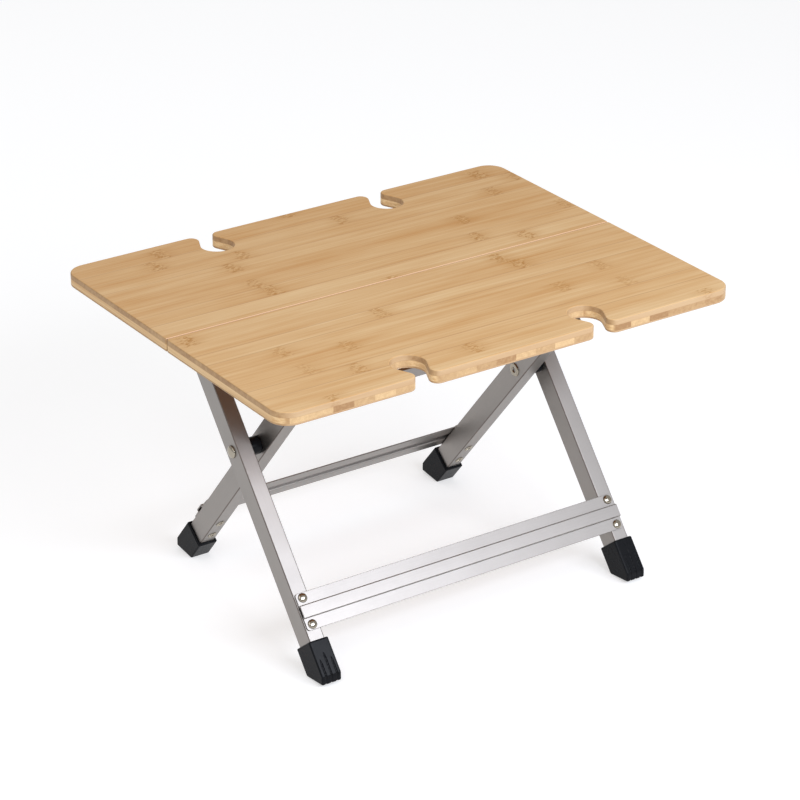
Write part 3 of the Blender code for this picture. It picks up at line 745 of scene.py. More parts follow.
@dataclass(frozen=True)
class MetalFinish(Finish):
    """Metal with fine lines from drawing or rolling, whose edges take an edge colour: rubbed wear on the
    nickel and zinc, and a painted dark reflection on the aluminium.
    """

    colour: tuple[float, float, float] = (0.4, 0.4, 0.4)
    # edge colour: rubbed wear on nickel and zinc, a painted dark reflection on the aluminium
    worn: tuple[float, float, float] = (0.7, 0.7, 0.7)
    grain: Grain = Grain.ALONG_Z
    line_depth: float = 0.000004
    spread: float = 0.05
    wear: float = 0.5
    wear_radius: float = 0.0009
    lines_per_metre: float = 1500.0
    breaks_per_metre: float = 5.0
    clouds_per_metre: float = 34.0
    blotch: float = 0.06
    lean: float = 0.0
    # strength of the painted dark reflection on the rounded corners between faces
    arris: float = 0.0
    arris_from: float = 0.12
    arris_full: float = 0.42

    def build(self, effects: Effects) -> bpy.types.Material:
        """Make the material.

        Args:
            effects: The shared groups.

        Returns:
            The material.
        """
        made, graph, shader = self.start()
        upright = graph.node("ShaderNodeVectorRotate", rotation_type="X_AXIS")
        upright.inputs["Angle"].default_value = self.lean
        graph.feed(upright.inputs["Vector"], graph.node("ShaderNodeTexCoord").outputs["Object"])
        place = upright.outputs[0]
        scale = [self.lines_per_metre] * 3
        scale[self.grain.value] = self.breaks_per_metre
        lines = graph.noise(graph.stretch(place, tuple(scale)), detail=3.0)
        cloud = graph.noise(place, self.clouds_per_metre, 3.0)
        shade = graph.math("MULTIPLY_ADD", graph.math("SUBTRACT", lines, 0.5), 2.0 * self.blotch, 1.0)
        shade = graph.math("MULTIPLY_ADD", graph.math("SUBTRACT", cloud, 0.5), 2.0 * self.blotch, shade)
        tint = graph.node("ShaderNodeVectorMath", operation="SCALE")
        tint.inputs[0].default_value = self.colour
        graph.feed(tint.inputs["Scale"], shade)
        # edges in patches take the edge colour: rubbed wear, and on the aluminium a painted dark reflection
        rub = graph.group(effects.edge_wear, Vector=place, Radius=self.wear_radius, Amount=self.wear)
        colour = graph.mix(rub.outputs["Mask"], tint.outputs[0], (*self.worn, 1.0))
        # painted reflection: the rounded corners between faces are darkened with the edge colour, standing
        # in for the dark they reflect
        facing = graph.node("ShaderNodeVectorRotate", rotation_type="X_AXIS")
        facing.inputs["Angle"].default_value = self.lean
        graph.feed(facing.inputs["Vector"], graph.node("ShaderNodeTexCoord").outputs["Normal"])
        across, out, _ = graph.split(facing.outputs[0])
        between = graph.math("MINIMUM", graph.math("ABSOLUTE", across), graph.math("ABSOLUTE", out))
        corner = graph.step(between, self.arris_from, self.arris_full)
        corner = graph.math("MULTIPLY", corner, self.arris)
        colour = graph.mix(corner, colour, (*self.worn, 1.0))
        gloss = graph.group(effects.handling, Vector=place, Roughness=self.roughness, Spread=self.spread)
        centred = graph.math("SUBTRACT", lines, 0.5)
        rough = graph.math("MULTIPLY_ADD", centred, self.spread, gloss.outputs[0])
        graph.feed(shader.inputs["Base Color"], colour)
        graph.feed(shader.inputs["Roughness"], rough)
        self.raise_surface(graph, shader, graph.math("MULTIPLY", lines, self.line_depth), 1.0)
        return made


@dataclass(frozen=True)
class NylonFinish(Finish):
    """Moulded black nylon, spark-textured, scuffed where it meets the ground."""

    colour: tuple[float, float, float] = (0.0070, 0.0076, 0.0092)
    scuffed: tuple[float, float, float] = (0.050, 0.050, 0.049)
    scuff_from: float = 0.016
    scuff_amount: float = 0.35
    scuff_scale: tuple[float, float, float] = (900.0, 160.0, 420.0)
    scuff_range: tuple[float, float] = (0.52, 0.72)
    scuff_roughness: float = 0.25
    flow_scale: tuple[float, float, float] = (260.0, 260.0, 40.0)
    flow_shade: float = 0.86
    grit_scale: float = 2100.0
    texture_depth: float = 0.00001
    wear_radius: float = 0.0008
    wear: float = 0.25
    spread: float = 0.12
    specular: float = 0.07

    def build(self, effects: Effects) -> bpy.types.Material:
        """Make the material.

        Args:
            effects: The shared groups.

        Returns:
            The material.
        """
        made, graph, shader = self.start()
        place = graph.node("ShaderNodeTexCoord").outputs["Object"]
        height = graph.split(graph.node("ShaderNodeNewGeometry").outputs["Position"])[2]
        grit = graph.noise(place, self.grit_scale, 2.0)
        flow = graph.noise(graph.stretch(place, self.flow_scale), detail=3.0)
        scuffs = graph.noise(graph.stretch(place, self.scuff_scale), detail=3.0, twist=0.4)
        low = graph.step(height, self.scuff_from, 0.0)
        scuff = graph.math("MULTIPLY", graph.step(scuffs, *self.scuff_range), low)
        scuff = graph.math("MULTIPLY", scuff, self.scuff_amount)
        rub = graph.group(effects.edge_wear, Vector=place, Radius=self.wear_radius, Amount=self.wear)
        share = graph.math("MAXIMUM", scuff, rub.outputs["Mask"])
        dark = [self.flow_shade * part for part in self.colour]
        base = graph.mix(flow, (*dark, 1.0), (*self.colour, 1.0))
        colour = graph.mix(share, base, (*self.scuffed, 1.0))
        gloss = graph.group(effects.handling, Vector=place, Roughness=self.roughness, Spread=self.spread)
        rough = graph.math("MULTIPLY_ADD", share, self.scuff_roughness, gloss.outputs["Roughness"])
        graph.feed(shader.inputs["Base Color"], colour)
        graph.feed(shader.inputs["Roughness"], rough)
        shader.inputs["Specular IOR Level"].default_value = self.specular
        relief = graph.math("MULTIPLY", grit, self.texture_depth)
        self.raise_surface(graph, shader, relief, 0.6)
        return made


FRONT_STRIPS = (
    Strip(0.50, 0.000, 0.60, 0.0),
    Strip(0.56, -0.246, 0.357, 0.8),
    Strip(0.46, 0.120, 0.47, 0.8),
    Strip(0.62, -0.059, 0.42, 0.6),
    Strip(0.48, -0.186, 0.370, 0.5),
    Strip(0.44, -0.127, 0.248, 0.5),
    Strip(0.50, -0.187, 0.369, 0.4),
    Strip(0.58, -0.147, 0.52, 0.6),
    Strip(0.56, -0.033, 0.38, 0.6),
    Strip(0.66, -0.201, 0.43, 0.6),
)
REAR_STRIPS = (
    Strip(0.56, -0.002, 0.50, 0.8),
    Strip(0.70, 0.170, 0.48, 0.7),
    Strip(0.46, -0.118, 0.244, 0.8),
    Strip(0.44, -0.123, 0.374, 0.6),
    Strip(0.34, 0.139, 0.55, 0.8),
    Strip(0.50, -0.121, 0.52, 0.7),
    Strip(0.42, -0.097, 0.307, 0.6),
    Strip(0.46, -0.181, 0.218, 0.7),
    Strip(0.36, -0.163, 0.388, 1.0),
    Strip(0.42, -0.004, 0.40, 0.8),
)

BAMBOO_FRONT = BambooFinish(
    "lacquered_bamboo_front", Slot.BAMBOO, 0.46, side=Side.FRONT, strips=FRONT_STRIPS, first_joint=0.0043
)
BAMBOO_REAR = BambooFinish(
    "lacquered_bamboo_rear", Slot.BAMBOO, 0.46, side=Side.REAR, strips=REAR_STRIPS, first_joint=0.0072
)
CHAMPAGNE = (0.305, 0.286, 0.270)
# painted dark reflection for the aluminium's edges and corners
DARK_ARRIS_REFLECTION = (0.130, 0.108, 0.095)
OUTER_TUBE, INNER_TUBE = (
    MetalFinish(
        f"satin_anodised_{name}_tube",
        Slot.ALUMINIUM,
        0.42,
        1.0,
        colour=CHAMPAGNE,
        worn=DARK_ARRIS_REFLECTION,
        lean=way * LEG_LEAN,
        arris=0.85,
    )
    for name, way in (("outer", 1), ("inner", -1))
)
ALUMINIUM_BAR = MetalFinish(
    "satin_anodised_bar", Slot.ALUMINIUM, 0.40, 1.0, colour=CHAMPAGNE, worn=DARK_ARRIS_REFLECTION, grain=Grain.ALONG_X
)
NICKEL = MetalFinish(
    "bright_nickel",
    Slot.NICKEL,
    0.11,
    1.0,
    colour=(0.36, 0.325, 0.265),
    worn=(0.42, 0.39, 0.33),
    line_depth=0.000001,
    spread=0.04,
    wear=0.3,
    wear_radius=0.0004,
    lines_per_metre=900.0,
    blotch=0.04,
)
ZINC = MetalFinish(
    "zinc_plated_sheet",
    Slot.ZINC,
    0.34,
    1.0,
    colour=(0.50, 0.51, 0.52),
    worn=(0.66, 0.66, 0.66),
    grain=Grain.ALONG_X,
    line_depth=0.000003,
    spread=0.08,
    wear=0.4,
    lines_per_metre=700.0,
    blotch=0.12,
)
NYLON = NylonFinish("moulded_black_nylon", Slot.NYLON, 0.27)


# ---------------------------------------------------------------- outlines and meshes


def arc(centre: tuple[float, float], radius: float, start: float, end: float, steps: int) -> Outline:
    """Points along an arc, angles in degrees, both ends included."""
    turns = [math.radians(start + (end - start) * i / steps) for i in range(steps + 1)]
    return [(centre[0] + radius * math.cos(a), centre[1] + radius * math.sin(a)) for a in turns]


def rounded_rect(half_x: float, half_y: float, radius: float, steps: int = 5) -> Outline:
    """Outline of a rectangle with rounded corners, counter-clockwise."""
    points: Outline = []
    for start, sign_x, sign_y in ((0, 1, 1), (90, -1, 1), (180, -1, -1), (270, 1, -1)):
        centre = (sign_x * (half_x - radius), sign_y * (half_y - radius))
        points += arc(centre, radius, start, start + 90, steps)
    return points


def filleted(corners: Sequence[tuple[float, float, float]], steps: int = 5) -> Outline:
    """Round the corners of a polygon.

    Args:
        corners: (first, second, fillet radius) of each corner, in order.
        steps: Segments of each fillet.

    Returns:
        The rounded outline.
    """
    points: Outline = []
    count = len(corners)
    for i, (p, q, radius) in enumerate(corners):
        here = Vector((p, q))
        back = (Vector(corners[i - 1][:2]) - here).normalized()
        ahead = (Vector(corners[(i + 1) % count][:2]) - here).normalized()
        if radius <= 0:
            points.append((p, q))
            continue
        half = back.angle(ahead) / 2
        centre = here + (back + ahead).normalized() * (radius / math.sin(half))
        start = here + back * (radius / math.tan(half)) - centre
        end = here + ahead * (radius / math.tan(half)) - centre
        turn = start.angle_signed(end)
        for step in range(steps + 1):
            spoke = start.copy()
            spoke.rotate(Matrix.Rotation(-turn * step / steps, 2))
            points.append(tuple(centre + spoke))
    return points


def soften(mesh: bpy.types.Mesh, angle: float = 32.0) -> bpy.types.Mesh:
    """Shade a mesh smooth, except over edges sharper than the angle in degrees."""
    mesh.shade_smooth()
    mesh.set_sharp_from_angle(angle=math.radians(angle))
    return mesh


def to_mesh(name: str, shape: bmesh.types.BMesh) -> bpy.types.Mesh:
    """Turn an edit mesh into a mesh with its faces outward."""
    bmesh.ops.recalc_face_normals(shape, faces=shape.faces)
    mesh = bpy.data.meshes.new(name)
    shape.to_mesh(mesh)
    shape.free()
    return soften(mesh)


def skin(name: str, rings: Sequence[Sequence[Vector]], loop: bool = False) -> bpy.types.Mesh:
    """Join rings of points into one closed shell.

    Args:
        name: Name of the mesh.
        rings: Rings with the same number of points.
        loop: Whether the last ring joins the first; otherwise both ends are capped.

    Returns:
        The mesh.
    """
    shape = bmesh.new()
    rows = [[shape.verts.new(point) for point in ring] for ring in rings]
    pairs = list(zip(rows, rows[1:]))
    if loop:
        pairs.append((rows[-1], rows[0]))
    for low, high in pairs:
        for i, near in enumerate(low):
            j = (i + 1) % len(low)
            shape.faces.new((near, low[j], high[j], high[i]))
    if not loop:
        shape.faces.new(rows[0])
        shape.faces.new(rows[-1])
    return to_mesh(name, shape)


def along_x(p: float, q: float, t: float) -> Vector:
    """Lay an outline of (Y, Z) points along X."""
    return Vector((t, p, q))


def along_z(p: float, q: float, t: float) -> Vector:
    """Lay an outline of (X, Y) points along Z."""
    return Vector((p, q, t))


def prism(name: str, outline: Outline, low: float, high: float, lay: Lay) -> bpy.types.Mesh:
    """Extrude an outline between two heights along one axis."""
    return skin(name, [[lay(p, q, t) for p, q in outline] for t in (low, high)])


def turned(name: str, profile: Outline, steps: int = 40, lobes: int = 0, lobe_depth: float = 0.0) -> Any:
    """Turn a profile about Z.

    Args:
        name: Name of the mesh.
        profile: (radius, height) points; ends on the axis are closed with a fan, others join up.
        steps: Segments around.
        lobes: Number of petals around the rim.
        lobe_depth: Share of the radius that the slits between petals go in.

    Returns:
        The mesh.
    """
    shape = bmesh.new()
    widest = max(radius for radius, _ in profile)
    rows: list[list[bmesh.types.BMVert]] = []
    for radius, height in profile:
        if radius < FINE:
            rows.append([shape.verts.new((0, 0, height))])
            continue
        row = []
        for i in range(steps):
            turn = 2 * math.pi * i / steps
            slit = 0.5 - 0.5 * math.cos(lobes * turn) if lobes else 0.0
            reach = radius * (1 - lobe_depth * slit**3 * radius / widest)
            row.append(shape.verts.new((reach * math.cos(turn), reach * math.sin(turn), height)))
        rows.append(row)
    pairs = list(zip(rows, rows[1:]))
    if len(rows[0]) > 1 and len(rows[-1]) > 1:
        pairs.append((rows[-1], rows[0]))
    for low, high in pairs:
        for i in range(steps):
            j = (i + 1) % steps
            corners = [low[i % len(low)], low[j % len(low)], high[j % len(high)], high[i % len(high)]]
            shape.faces.new(list(dict.fromkeys(corners)))
    return to_mesh(name, shape)


def dome(radius: float, height: float, base: float, steps: int = 8, lip: float = 0.0) -> Outline:
    """Profile of a domed head from its crown down to its rim, with an upright lip below it."""
    points = []
    for i in range(steps + 1):
        turn = QUARTER * i / steps
        points.append((radius * math.sin(turn), base + lip + (height - lip) * math.cos(turn)))
    if lip:
        points.append((radius, base))
    return points


def combined(target: bpy.types.Mesh, tools: Sequence[bpy.types.Mesh], operation: str) -> bpy.types.Mesh:
    """Cut tools out of a mesh, or join them to it.

    Args:
        target: The mesh to start from.
        tools: Closed meshes in the same place.
        operation: DIFFERENCE or UNION.

    Returns:
        The new mesh.
    """
    scene = bpy.context.scene.collection
    base = bpy.data.objects.new("combine_base", target)
    scene.objects.link(base)
    helpers = [base]
    for tool in tools:
        helper = bpy.data.objects.new("combine_tool", tool)
        scene.objects.link(helper)
        helpers.append(helper)
        step = base.modifiers.new("combine", "BOOLEAN")
        step.operation = operation
        step.solver = "EXACT"
        step.object = helper
    graph = bpy.context.evaluated_depsgraph_get()
    mesh = bpy.data.meshes.new_from_object(base.evaluated_get(graph))
    for helper in helpers:
        bpy.data.objects.remove(helper)
    for tool in (target, *tools):
        bpy.data.meshes.remove(tool)
    return soften(mesh)


# ---------------------------------------------------------------- the bench


class Bench:
    """Dresses finished meshes and places them on the moving bodies."""

    def __init__(self) -> None:
        """Build the shared effects."""
        self.effects = Effects()
        self.materials: dict[str, bpy.types.Material] = {}

    def material(self, finish: Finish) -> bpy.types.Material:
        """The material of a finish, built when it is first asked for."""
        if finish.name not in self.materials:
            self.materials[finish.name] = finish.build(self.effects)
        return self.materials[finish.name]

    def place(
        self,
        name: str,
        mesh: bpy.types.Mesh,
        finish: Finish,
        body: str,
        at: Matrix,
        nodes: Sequence[str] = (),
        ease: float = 0.0,
    ) -> bpy.types.Object:
        """Put a piece on its body.

        Args:
            name: Name of the piece.
            mesh: Its mesh, about its own origin.
            finish: Its finish.
            body: The body that it moves with.
            at: Where its own origin goes in the part's frame.
            nodes: CAD nodes that it stands for.
            ease: Width that its sharp edges are eased by.

        Returns:
            The piece.
        """
        shape = mesh.copy()
        shape.name = name
        shape.transform(at)
        shape.materials.append(self.material(finish))
        piece = bpy.data.objects.new(name, shape)
        bpy.context.scene.collection.objects.link(piece)
        if ease:
            step = piece.modifiers.new("eased_edges", "BEVEL")
            step.width = ease
            step.segments = 2
            step.limit_method = "ANGLE"
            step.angle_limit = math.radians(40)
            step.use_clamp_overlap = True
            step.harden_normals = False
        level = piece.modifiers.new("even_shading", "WEIGHTED_NORMAL")
        level.keep_sharp = True
        level.weight = 90
        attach(piece, body)
        if nodes:
            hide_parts(*nodes)
        LOG.info("%s on %s, %d vertices", name, body, len(mesh.vertices))
        return piece


# ---------------------------------------------------------------- top panels


@dataclass(frozen=True)
class GlassSlot:
    """A keyhole slot for a stemmed glass: a round seat behind a narrow flared mouth."""

    seat_radius: float = 0.0168
    seat_in: float = 0.0310
    neck_half: float = 0.0090
    horn_radius: float = 0.0085

    def outline(self, middle: float, edge: float) -> Outline:
        """Outline that opens on the line y = edge, from the right horn to the left.

        Args:
            middle: Place of the slot along the edge.
            edge: Distance of the edge from the seam.

        Returns:
            Points of the slot.
        """
        horn_x = self.neck_half + self.horn_radius
        drop = self.seat_in - self.horn_radius
        lean = math.acos((self.horn_radius + self.seat_radius) / math.hypot(horn_x, drop))
        flare = math.degrees(math.atan2(drop, horn_x) - lean)
        horn_y = edge - self.horn_radius
        points = arc((middle + horn_x, horn_y), self.horn_radius, 90, 180 + flare, 14)
        points += arc((middle, edge - self.seat_in), self.seat_radius, flare, -180 - flare, 44)
        points += arc((middle - horn_x, horn_y), self.horn_radius, -flare, 90, 14)
        return points


@dataclass
class BoardPanel:
    """One bamboo half of the top."""

    side: Side
    finish: BambooFinish
    length: float
    depth: float
    top: float
    slot: GlassSlot = field(default_factory=GlassSlot)
    slot_x: float = 0.102
    thickness: float = 0.0137
    corner_radius: float = 0.0200
    seam_corner: float = 0.0024
    ease: float = 0.0016
    seam_ease: float = 0.0009
    ease_steps: int = 5

    def outline(self) -> Outline:
        """Outline with y counted outwards from the seam, counter-clockwise."""
        half = self.length / 2
        small = self.seam_corner
        big = self.corner_radius
        points = arc((-half + small, GAP + small), small, 180, 270, 6)
        points += arc((half - small, GAP + small), small, 270, 360, 6)
        points += arc((half - big, self.depth - big), big, 0, 90, 18)
        points += self.slot.outline(self.slot_x, self.depth)
        points += self.slot.outline(-self.slot_x, self.depth)
        points += arc((-half + big, self.depth - big), big, 90, 180, 18)
        return points

    def ease_at(self, y: float) -> float:
        """How far the edge is eased at a distance from the seam."""
        blend = min(1.0, max(0.0, (y - GAP - 0.0002) / (1.5 * self.seam_corner)))
        return self.seam_ease + (self.ease - self.seam_ease) * blend

    def rings(self) -> list[list[Vector]]:
        """Rings of the board from its lower face, round its eased edges, to its upper face."""
        points = self.outline()
        count = len(points)
        inward = []
        for i in range(count):
            before = Vector(points[i - 1])
            after = Vector(points[(i + 1) % count])
            run = (after - before).normalized()
            inward.append(Vector((-run.y, run.x)))
        turns = [QUARTER * i / self.ease_steps for i in range(self.ease_steps + 1)]
        low = self.top - self.thickness
        levels = [(1 - math.sin(a), low, 1 - math.cos(a)) for a in turns]
        levels += [(1 - math.cos(a), self.top, math.sin(a) - 1) for a in turns]
        rings = []
        for inset, base, rise in levels:
            ring = []
            for (x, y), way in zip(points, inward):
                ease = self.ease_at(y)
                spot = Vector((x, y)) + way * ease * inset
                ring.append(Vector((spot.x, self.side.value * spot.y, base + ease * rise)))
            rings.append(ring)
        return rings

    def build(self, bench: Bench) -> None:
        """Make the board and place it."""
        mesh = skin(f"{self.side.word}_board", self.rings())
        node = f"{self.side.word}_panel"
        name = f"bamboo_board_{self.side.word}"
        bench.place(name, mesh, self.finish, self.side.body, Matrix.Identity(4), [node])


# ---------------------------------------------------------------- fasteners


@dataclass(frozen=True)
class TubularRivet:
    """A domed rivet whose far end is split and rolled back over the leg."""

    shank: float = 0.0025
    head_radius: float = 0.0047
    head_height: float = 0.0024
    lip: float = 0.0005
    tail_radius: float = 0.0049
    tail_height: float = 0.0010
    petals: int = 6
    slit: float = 0.34

    def head_mesh(self, name: str, seat: float, foot: float) -> bpy.types.Mesh:
        """Head and shank, with the head's seat and the shank's end given along Z."""
        profile = dome(self.head_radius, self.head_height, seat, lip=self.lip)
        profile += [(self.shank, seat), (self.shank, foot), (0, foot)]
        return turned(name, profile)

    def tail_mesh(self, name: str, seat: float) -> bpy.types.Mesh:
        """The rolled tail below its seat, facing -Z, with slits between its petals."""
        bore = self.shank - 0.0006
        profile = [
            (bore, seat + 0.0012),
            (self.tail_radius - 0.0004, seat + 0.00002),
            (self.tail_radius, seat - 0.0002),
            (self.tail_radius - 0.0003, seat - 0.0005),
            (self.tail_radius - 0.0010, seat - 0.85 * self.tail_height),
            (self.shank + 0.0004, seat - self.tail_height),
            (self.shank - 0.0002, seat - 0.8 * self.tail_height),
            (bore, seat - 0.3 * self.tail_height),
        ]
        return turned(name, profile, 72, self.petals, self.slit)


@dataclass(frozen=True)
class WoodScrew:
    """A countersunk wood screw with a cross recess."""

    head_radius: float = 0.0035
    shank: float = 0.0017
    length: float = 0.0100
    proud: float = 0.00015
    recess_long: float = 0.0021
    recess_wide: float = 0.00045
    recess_deep: float = 0.0014

    def mesh(self, name: str) -> bpy.types.Mesh:
        """Make the screw pointing up, with its head's face at z = 0."""
        cone = self.head_radius - self.shank
        profile = [
            (0, self.length),
            (0.3 * self.shank, self.length - 0.0004),
            (self.shank, self.length - 0.0030),
            (self.shank, cone),
            (self.head_radius, self.proud + 0.0001),
            (self.head_radius - 0.0001, 0.00004),
            (self.head_radius - 0.0004, 0.0),
            (0, -0.00005),
        ]
        screw = turned(name, profile, 36)
        slots = []
        for turn in (0.0, QUARTER):
            wide = rounded_rect(self.recess_long, self.recess_wide, 0.0002, 2)
            slot = prism(f"{name}_recess", wide, -0.001, self.recess_deep, along_z)
            slot.transform(Matrix.Rotation(turn, 4, "Z"))
            slots.append(slot)
        return combined(screw, slots, "DIFFERENCE")


# ---------------------------------------------------------------- leg frames


@dataclass(frozen=True)
class LegSizes:
    """Sizes that the pieces of both leg frames share."""

    angle: float = QUARTER - LEG_LEAN
    cross_height: float = 0.1843
    deep: float = 0.0241
    wide: float = 0.0167
    wall: float = 0.0015
    edge_radius: float = 0.0012
    over_pin: float = 0.0095
    foot_end: float = 0.2180

    @property
    def half_deep(self) -> float:
        """Half of the tube's depth."""
        return self.deep / 2

    @property
    def half_wide(self) -> float:
        """Half of the tube's width."""
        return self.wide / 2


LEG = LegSizes()
PIN_HEIGHT = frame["joints"][1]["pos_m"][2]
PIN_TO_CROSS = (PIN_HEIGHT - LEG.cross_height) / math.sin(LEG.angle)


def at_station(station: float) -> float:
    """Local height of a station, which is counted from the crossing towards the foot."""
    return -PIN_TO_CROSS - station


@dataclass
class Boot:
    """The ribbed boot on a leg's lower end, made as slices across its width."""

    face: int
    top_at: float = 0.1992
    side_wall: float = 0.0026
    face_wall: float = 0.0025
    sole_tilt: float = math.radians(6.0)
    toe_angle: float = math.radians(52.0)
    toe_cut: float = 0.0055
    heel_ease: float = 0.0010
    side_radius: float = 0.0016
    groove_pitch: float = 0.0062
    groove_half: float = 0.0013
    groove_deep: float = 0.0011
    toe_deep: float = 0.0005
    ladder_pitch: float = 0.0012
    groove_run: float = 0.0050
    middle_groove_at: float = 0.2130
    side_groove_at: float = 0.2185
    groove_start_wide: float = 0.25
    ladder_share: float = 0.35
    heel_fade: float = 0.0040
    toe_fade_in: float = 0.0016
    toe_fade: float = 0.0012
    clearance: float = 0.00035
    socket_deep: float = 0.0120
    point_pitch: float = 0.0009

    def profile(self) -> list[tuple[float, float]]:
        """Side view as (station, out) points, out being towards the toe face.

        Returns:
            A rounded outline with a point at least every point_pitch.
        """
        half = LEG.half_deep + self.face_wall
        rise = self.heel_ease * math.sin(self.sole_tilt)
        heel = (LEG.cross_height + rise - half * math.cos(LEG.angle)) / math.sin(LEG.angle)
        toe = heel + math.tan(LEG_LEAN - self.sole_tilt) * (2 * half - self.toe_cut)
        toe_top = toe - self.toe_cut * math.tan(self.toe_angle)
        corners = [
            (self.top_at, -half, 0.0012),
            (heel, -half, 0.0022),
            (toe, half - self.toe_cut, 0.0018),
            (toe_top, half, 0.0030),
            (self.top_at, half, 0.0014),
        ]
        rounded = filleted(corners)
        dense: Outline = []
        for i, start in enumerate(rounded):
            a, b = Vector(start), Vector(rounded[(i + 1) % len(rounded)])
            pieces = max(1, math.ceil((b - a).length / self.point_pitch))
            dense += [tuple(a.lerp(b, k / pieces)) for k in range(pieces)]
        return dense

    def slices(self) -> list[float]:
        """Places across the width, close together in the grooves and at the rounded sides."""
        half = LEG.half_wide + self.side_wall
        radius = self.side_radius
        places = {half - radius + radius * math.sin(QUARTER * i / 5) for i in range(6)}
        for centre in (0.0, self.groove_pitch):
            places |= {centre + self.groove_half * i / 5 for i in range(-5, 6)}
        places.add(self.groove_pitch / 2)
        positive = {round(x, 6) for x in places if x >= 0}
        return sorted(positive | {-x for x in positive if x > 0})

    def groove(self, x: float, station: float, out: float, half: float) -> float:
        """Depth of the grooves at a point of the outline.

        Args:
            x: Place across the width.
            station: Place along the leg.
            out: Place towards the toe face.
            half: Half of the boot's depth.

        Returns:
            How far the surface is sunk there.
        """
        nearest = round(x / self.groove_pitch)
        if abs(nearest) > 1:
            return 0.0
        start = self.middle_groove_at if nearest == 0 else self.side_groove_at
        grown = min(1.0, max(0.0, (station - start) / self.groove_run))
        away = abs(x - nearest * self.groove_pitch) / self.groove_half
        width = self.groove_start_wide + (1 - self.groove_start_wide) * grown
        if away >= width or station <= start:
            return 0.0
        at_heel = min(1.0, (out + half) / self.heel_fade)
        hollow = math.sqrt(1 - (away / width) ** 2)
        on_face = min(1.0, max(0.0, (out - (half - self.toe_fade_in)) / self.toe_fade))
        deep = self.toe_deep + (self.groove_deep - self.toe_deep) * on_face
        rungs = 0.5 + 0.5 * math.cos(2 * math.pi * station / self.ladder_pitch)
        ladder = 1 - self.ladder_share * on_face * rungs
        return deep * ladder * grown**0.5 * hollow**0.7 * max(0.0, at_heel)

    def mesh(self, name: str) -> bpy.types.Mesh:
        """Make the boot about its leg's line.

        Args:
            name: Name of the mesh.

        Returns:
            The mesh, with the socket for the leg cut into it.
        """
        outline = self.profile()
        count = len(outline)
        half = LEG.half_deep + self.face_wall
        edge = LEG.half_wide + self.side_wall
        area = sum(p[0] * q[1] - q[0] * p[1] for p, q in zip(outline, outline[1:] + outline[:1]))
        way = 1 if area > 0 else -1
        inward = []
        for i in range(count):
            run = (Vector(outline[(i + 1) % count]) - Vector(outline[i - 1])).normalized()
            inward.append(Vector((-run.y, run.x)) * way)
        rings = []
        for x in self.slices():
            past = max(0.0, abs(x) - (edge - self.side_radius))
            rounding = self.side_radius - math.sqrt(max(0.0, self.side_radius**2 - past**2))
            ring = []
            for (station, out), normal in zip(outline, inward):
                sunk = rounding + self.groove(x, station, out, half)
                spot = Vector((station, out)) + normal * sunk
                ring.append(Vector((x, self.face * spot.y, at_station(spot.x))))
            rings.append(ring)
        solid = skin(name, rings)
        room = self.clearance
        hole = rounded_rect(LEG.half_wide + room, LEG.half_deep + room, LEG.edge_radius + room)
        low, high = at_station(self.top_at + self.socket_deep), at_station(self.top_at) + 0.004
        return combined(solid, [prism(f"{name}_socket", hole, low, high, along_z)], "DIFFERENCE")


@dataclass
class Crossbar:
    """A strip across the legs with rounded corners, with or without a raised hollow rib."""

    station: float
    half: float
    sheet: float
    rib_half: float = 0.0
    rib_rise: float = 0.0
    rib_wall: float = 0.0014
    rim_ease: float = 0.0003
    rib_ease: float = 0.0010
    channel_ease: float = 0.0012
    end_in: float = 0.0016
    corner_radius: float = 0.0030
    corner_steps: int = 8

    def section(self, half: float) -> Outline:
        """Section as (along the leg, out from it) points for a strip of the given half width."""
        if not self.rib_half:
            return [(-half, 0), (half, 0), (half, self.sheet), (-half, self.sheet)]
        inner = self.rib_half - self.rib_wall
        floor = self.rib_rise - self.rib_wall
        ease, bend = self.rim_ease, self.channel_ease
        right = [(inner, floor, 0), (inner, 0, bend), (half, 0, ease), (half, self.sheet, ease)]
        right += [(self.rib_half, self.sheet, ease), (self.rib_half, self.rib_rise, self.rib_ease)]
        left = [(-p, q, radius) for p, q, radius in reversed(right)]
        return filleted(right + left, 4)

    def mesh(self, name: str, leg_x: float, way: int) -> bpy.types.Mesh:
        """Make the crossbar.

        Args:
            name: Name of the mesh.
            leg_x: Distance of the legs from the middle.
            way: Local Y direction that it faces.

        Returns:
            The mesh.
        """
        end = leg_x + LEG.half_wide - self.end_in
        radius = self.corner_radius
        stations = []
        for i in range(self.corner_steps + 1):
            turn = QUARTER * i / self.corner_steps
            stations.append((end - radius + radius * math.sin(turn), radius * (1 - math.cos(turn))))
        places = [(-x, cut) for x, cut in reversed(stations)] + stations
        seat = LEG.half_deep + GAP
        middle = at_station(self.station)
        rings = []
        for x, cut in places:
            section = self.section(self.half - cut)
            rings.append([Vector((x, way * (seat + q), middle + p)) for p, q in section])
        return skin(name, rings)


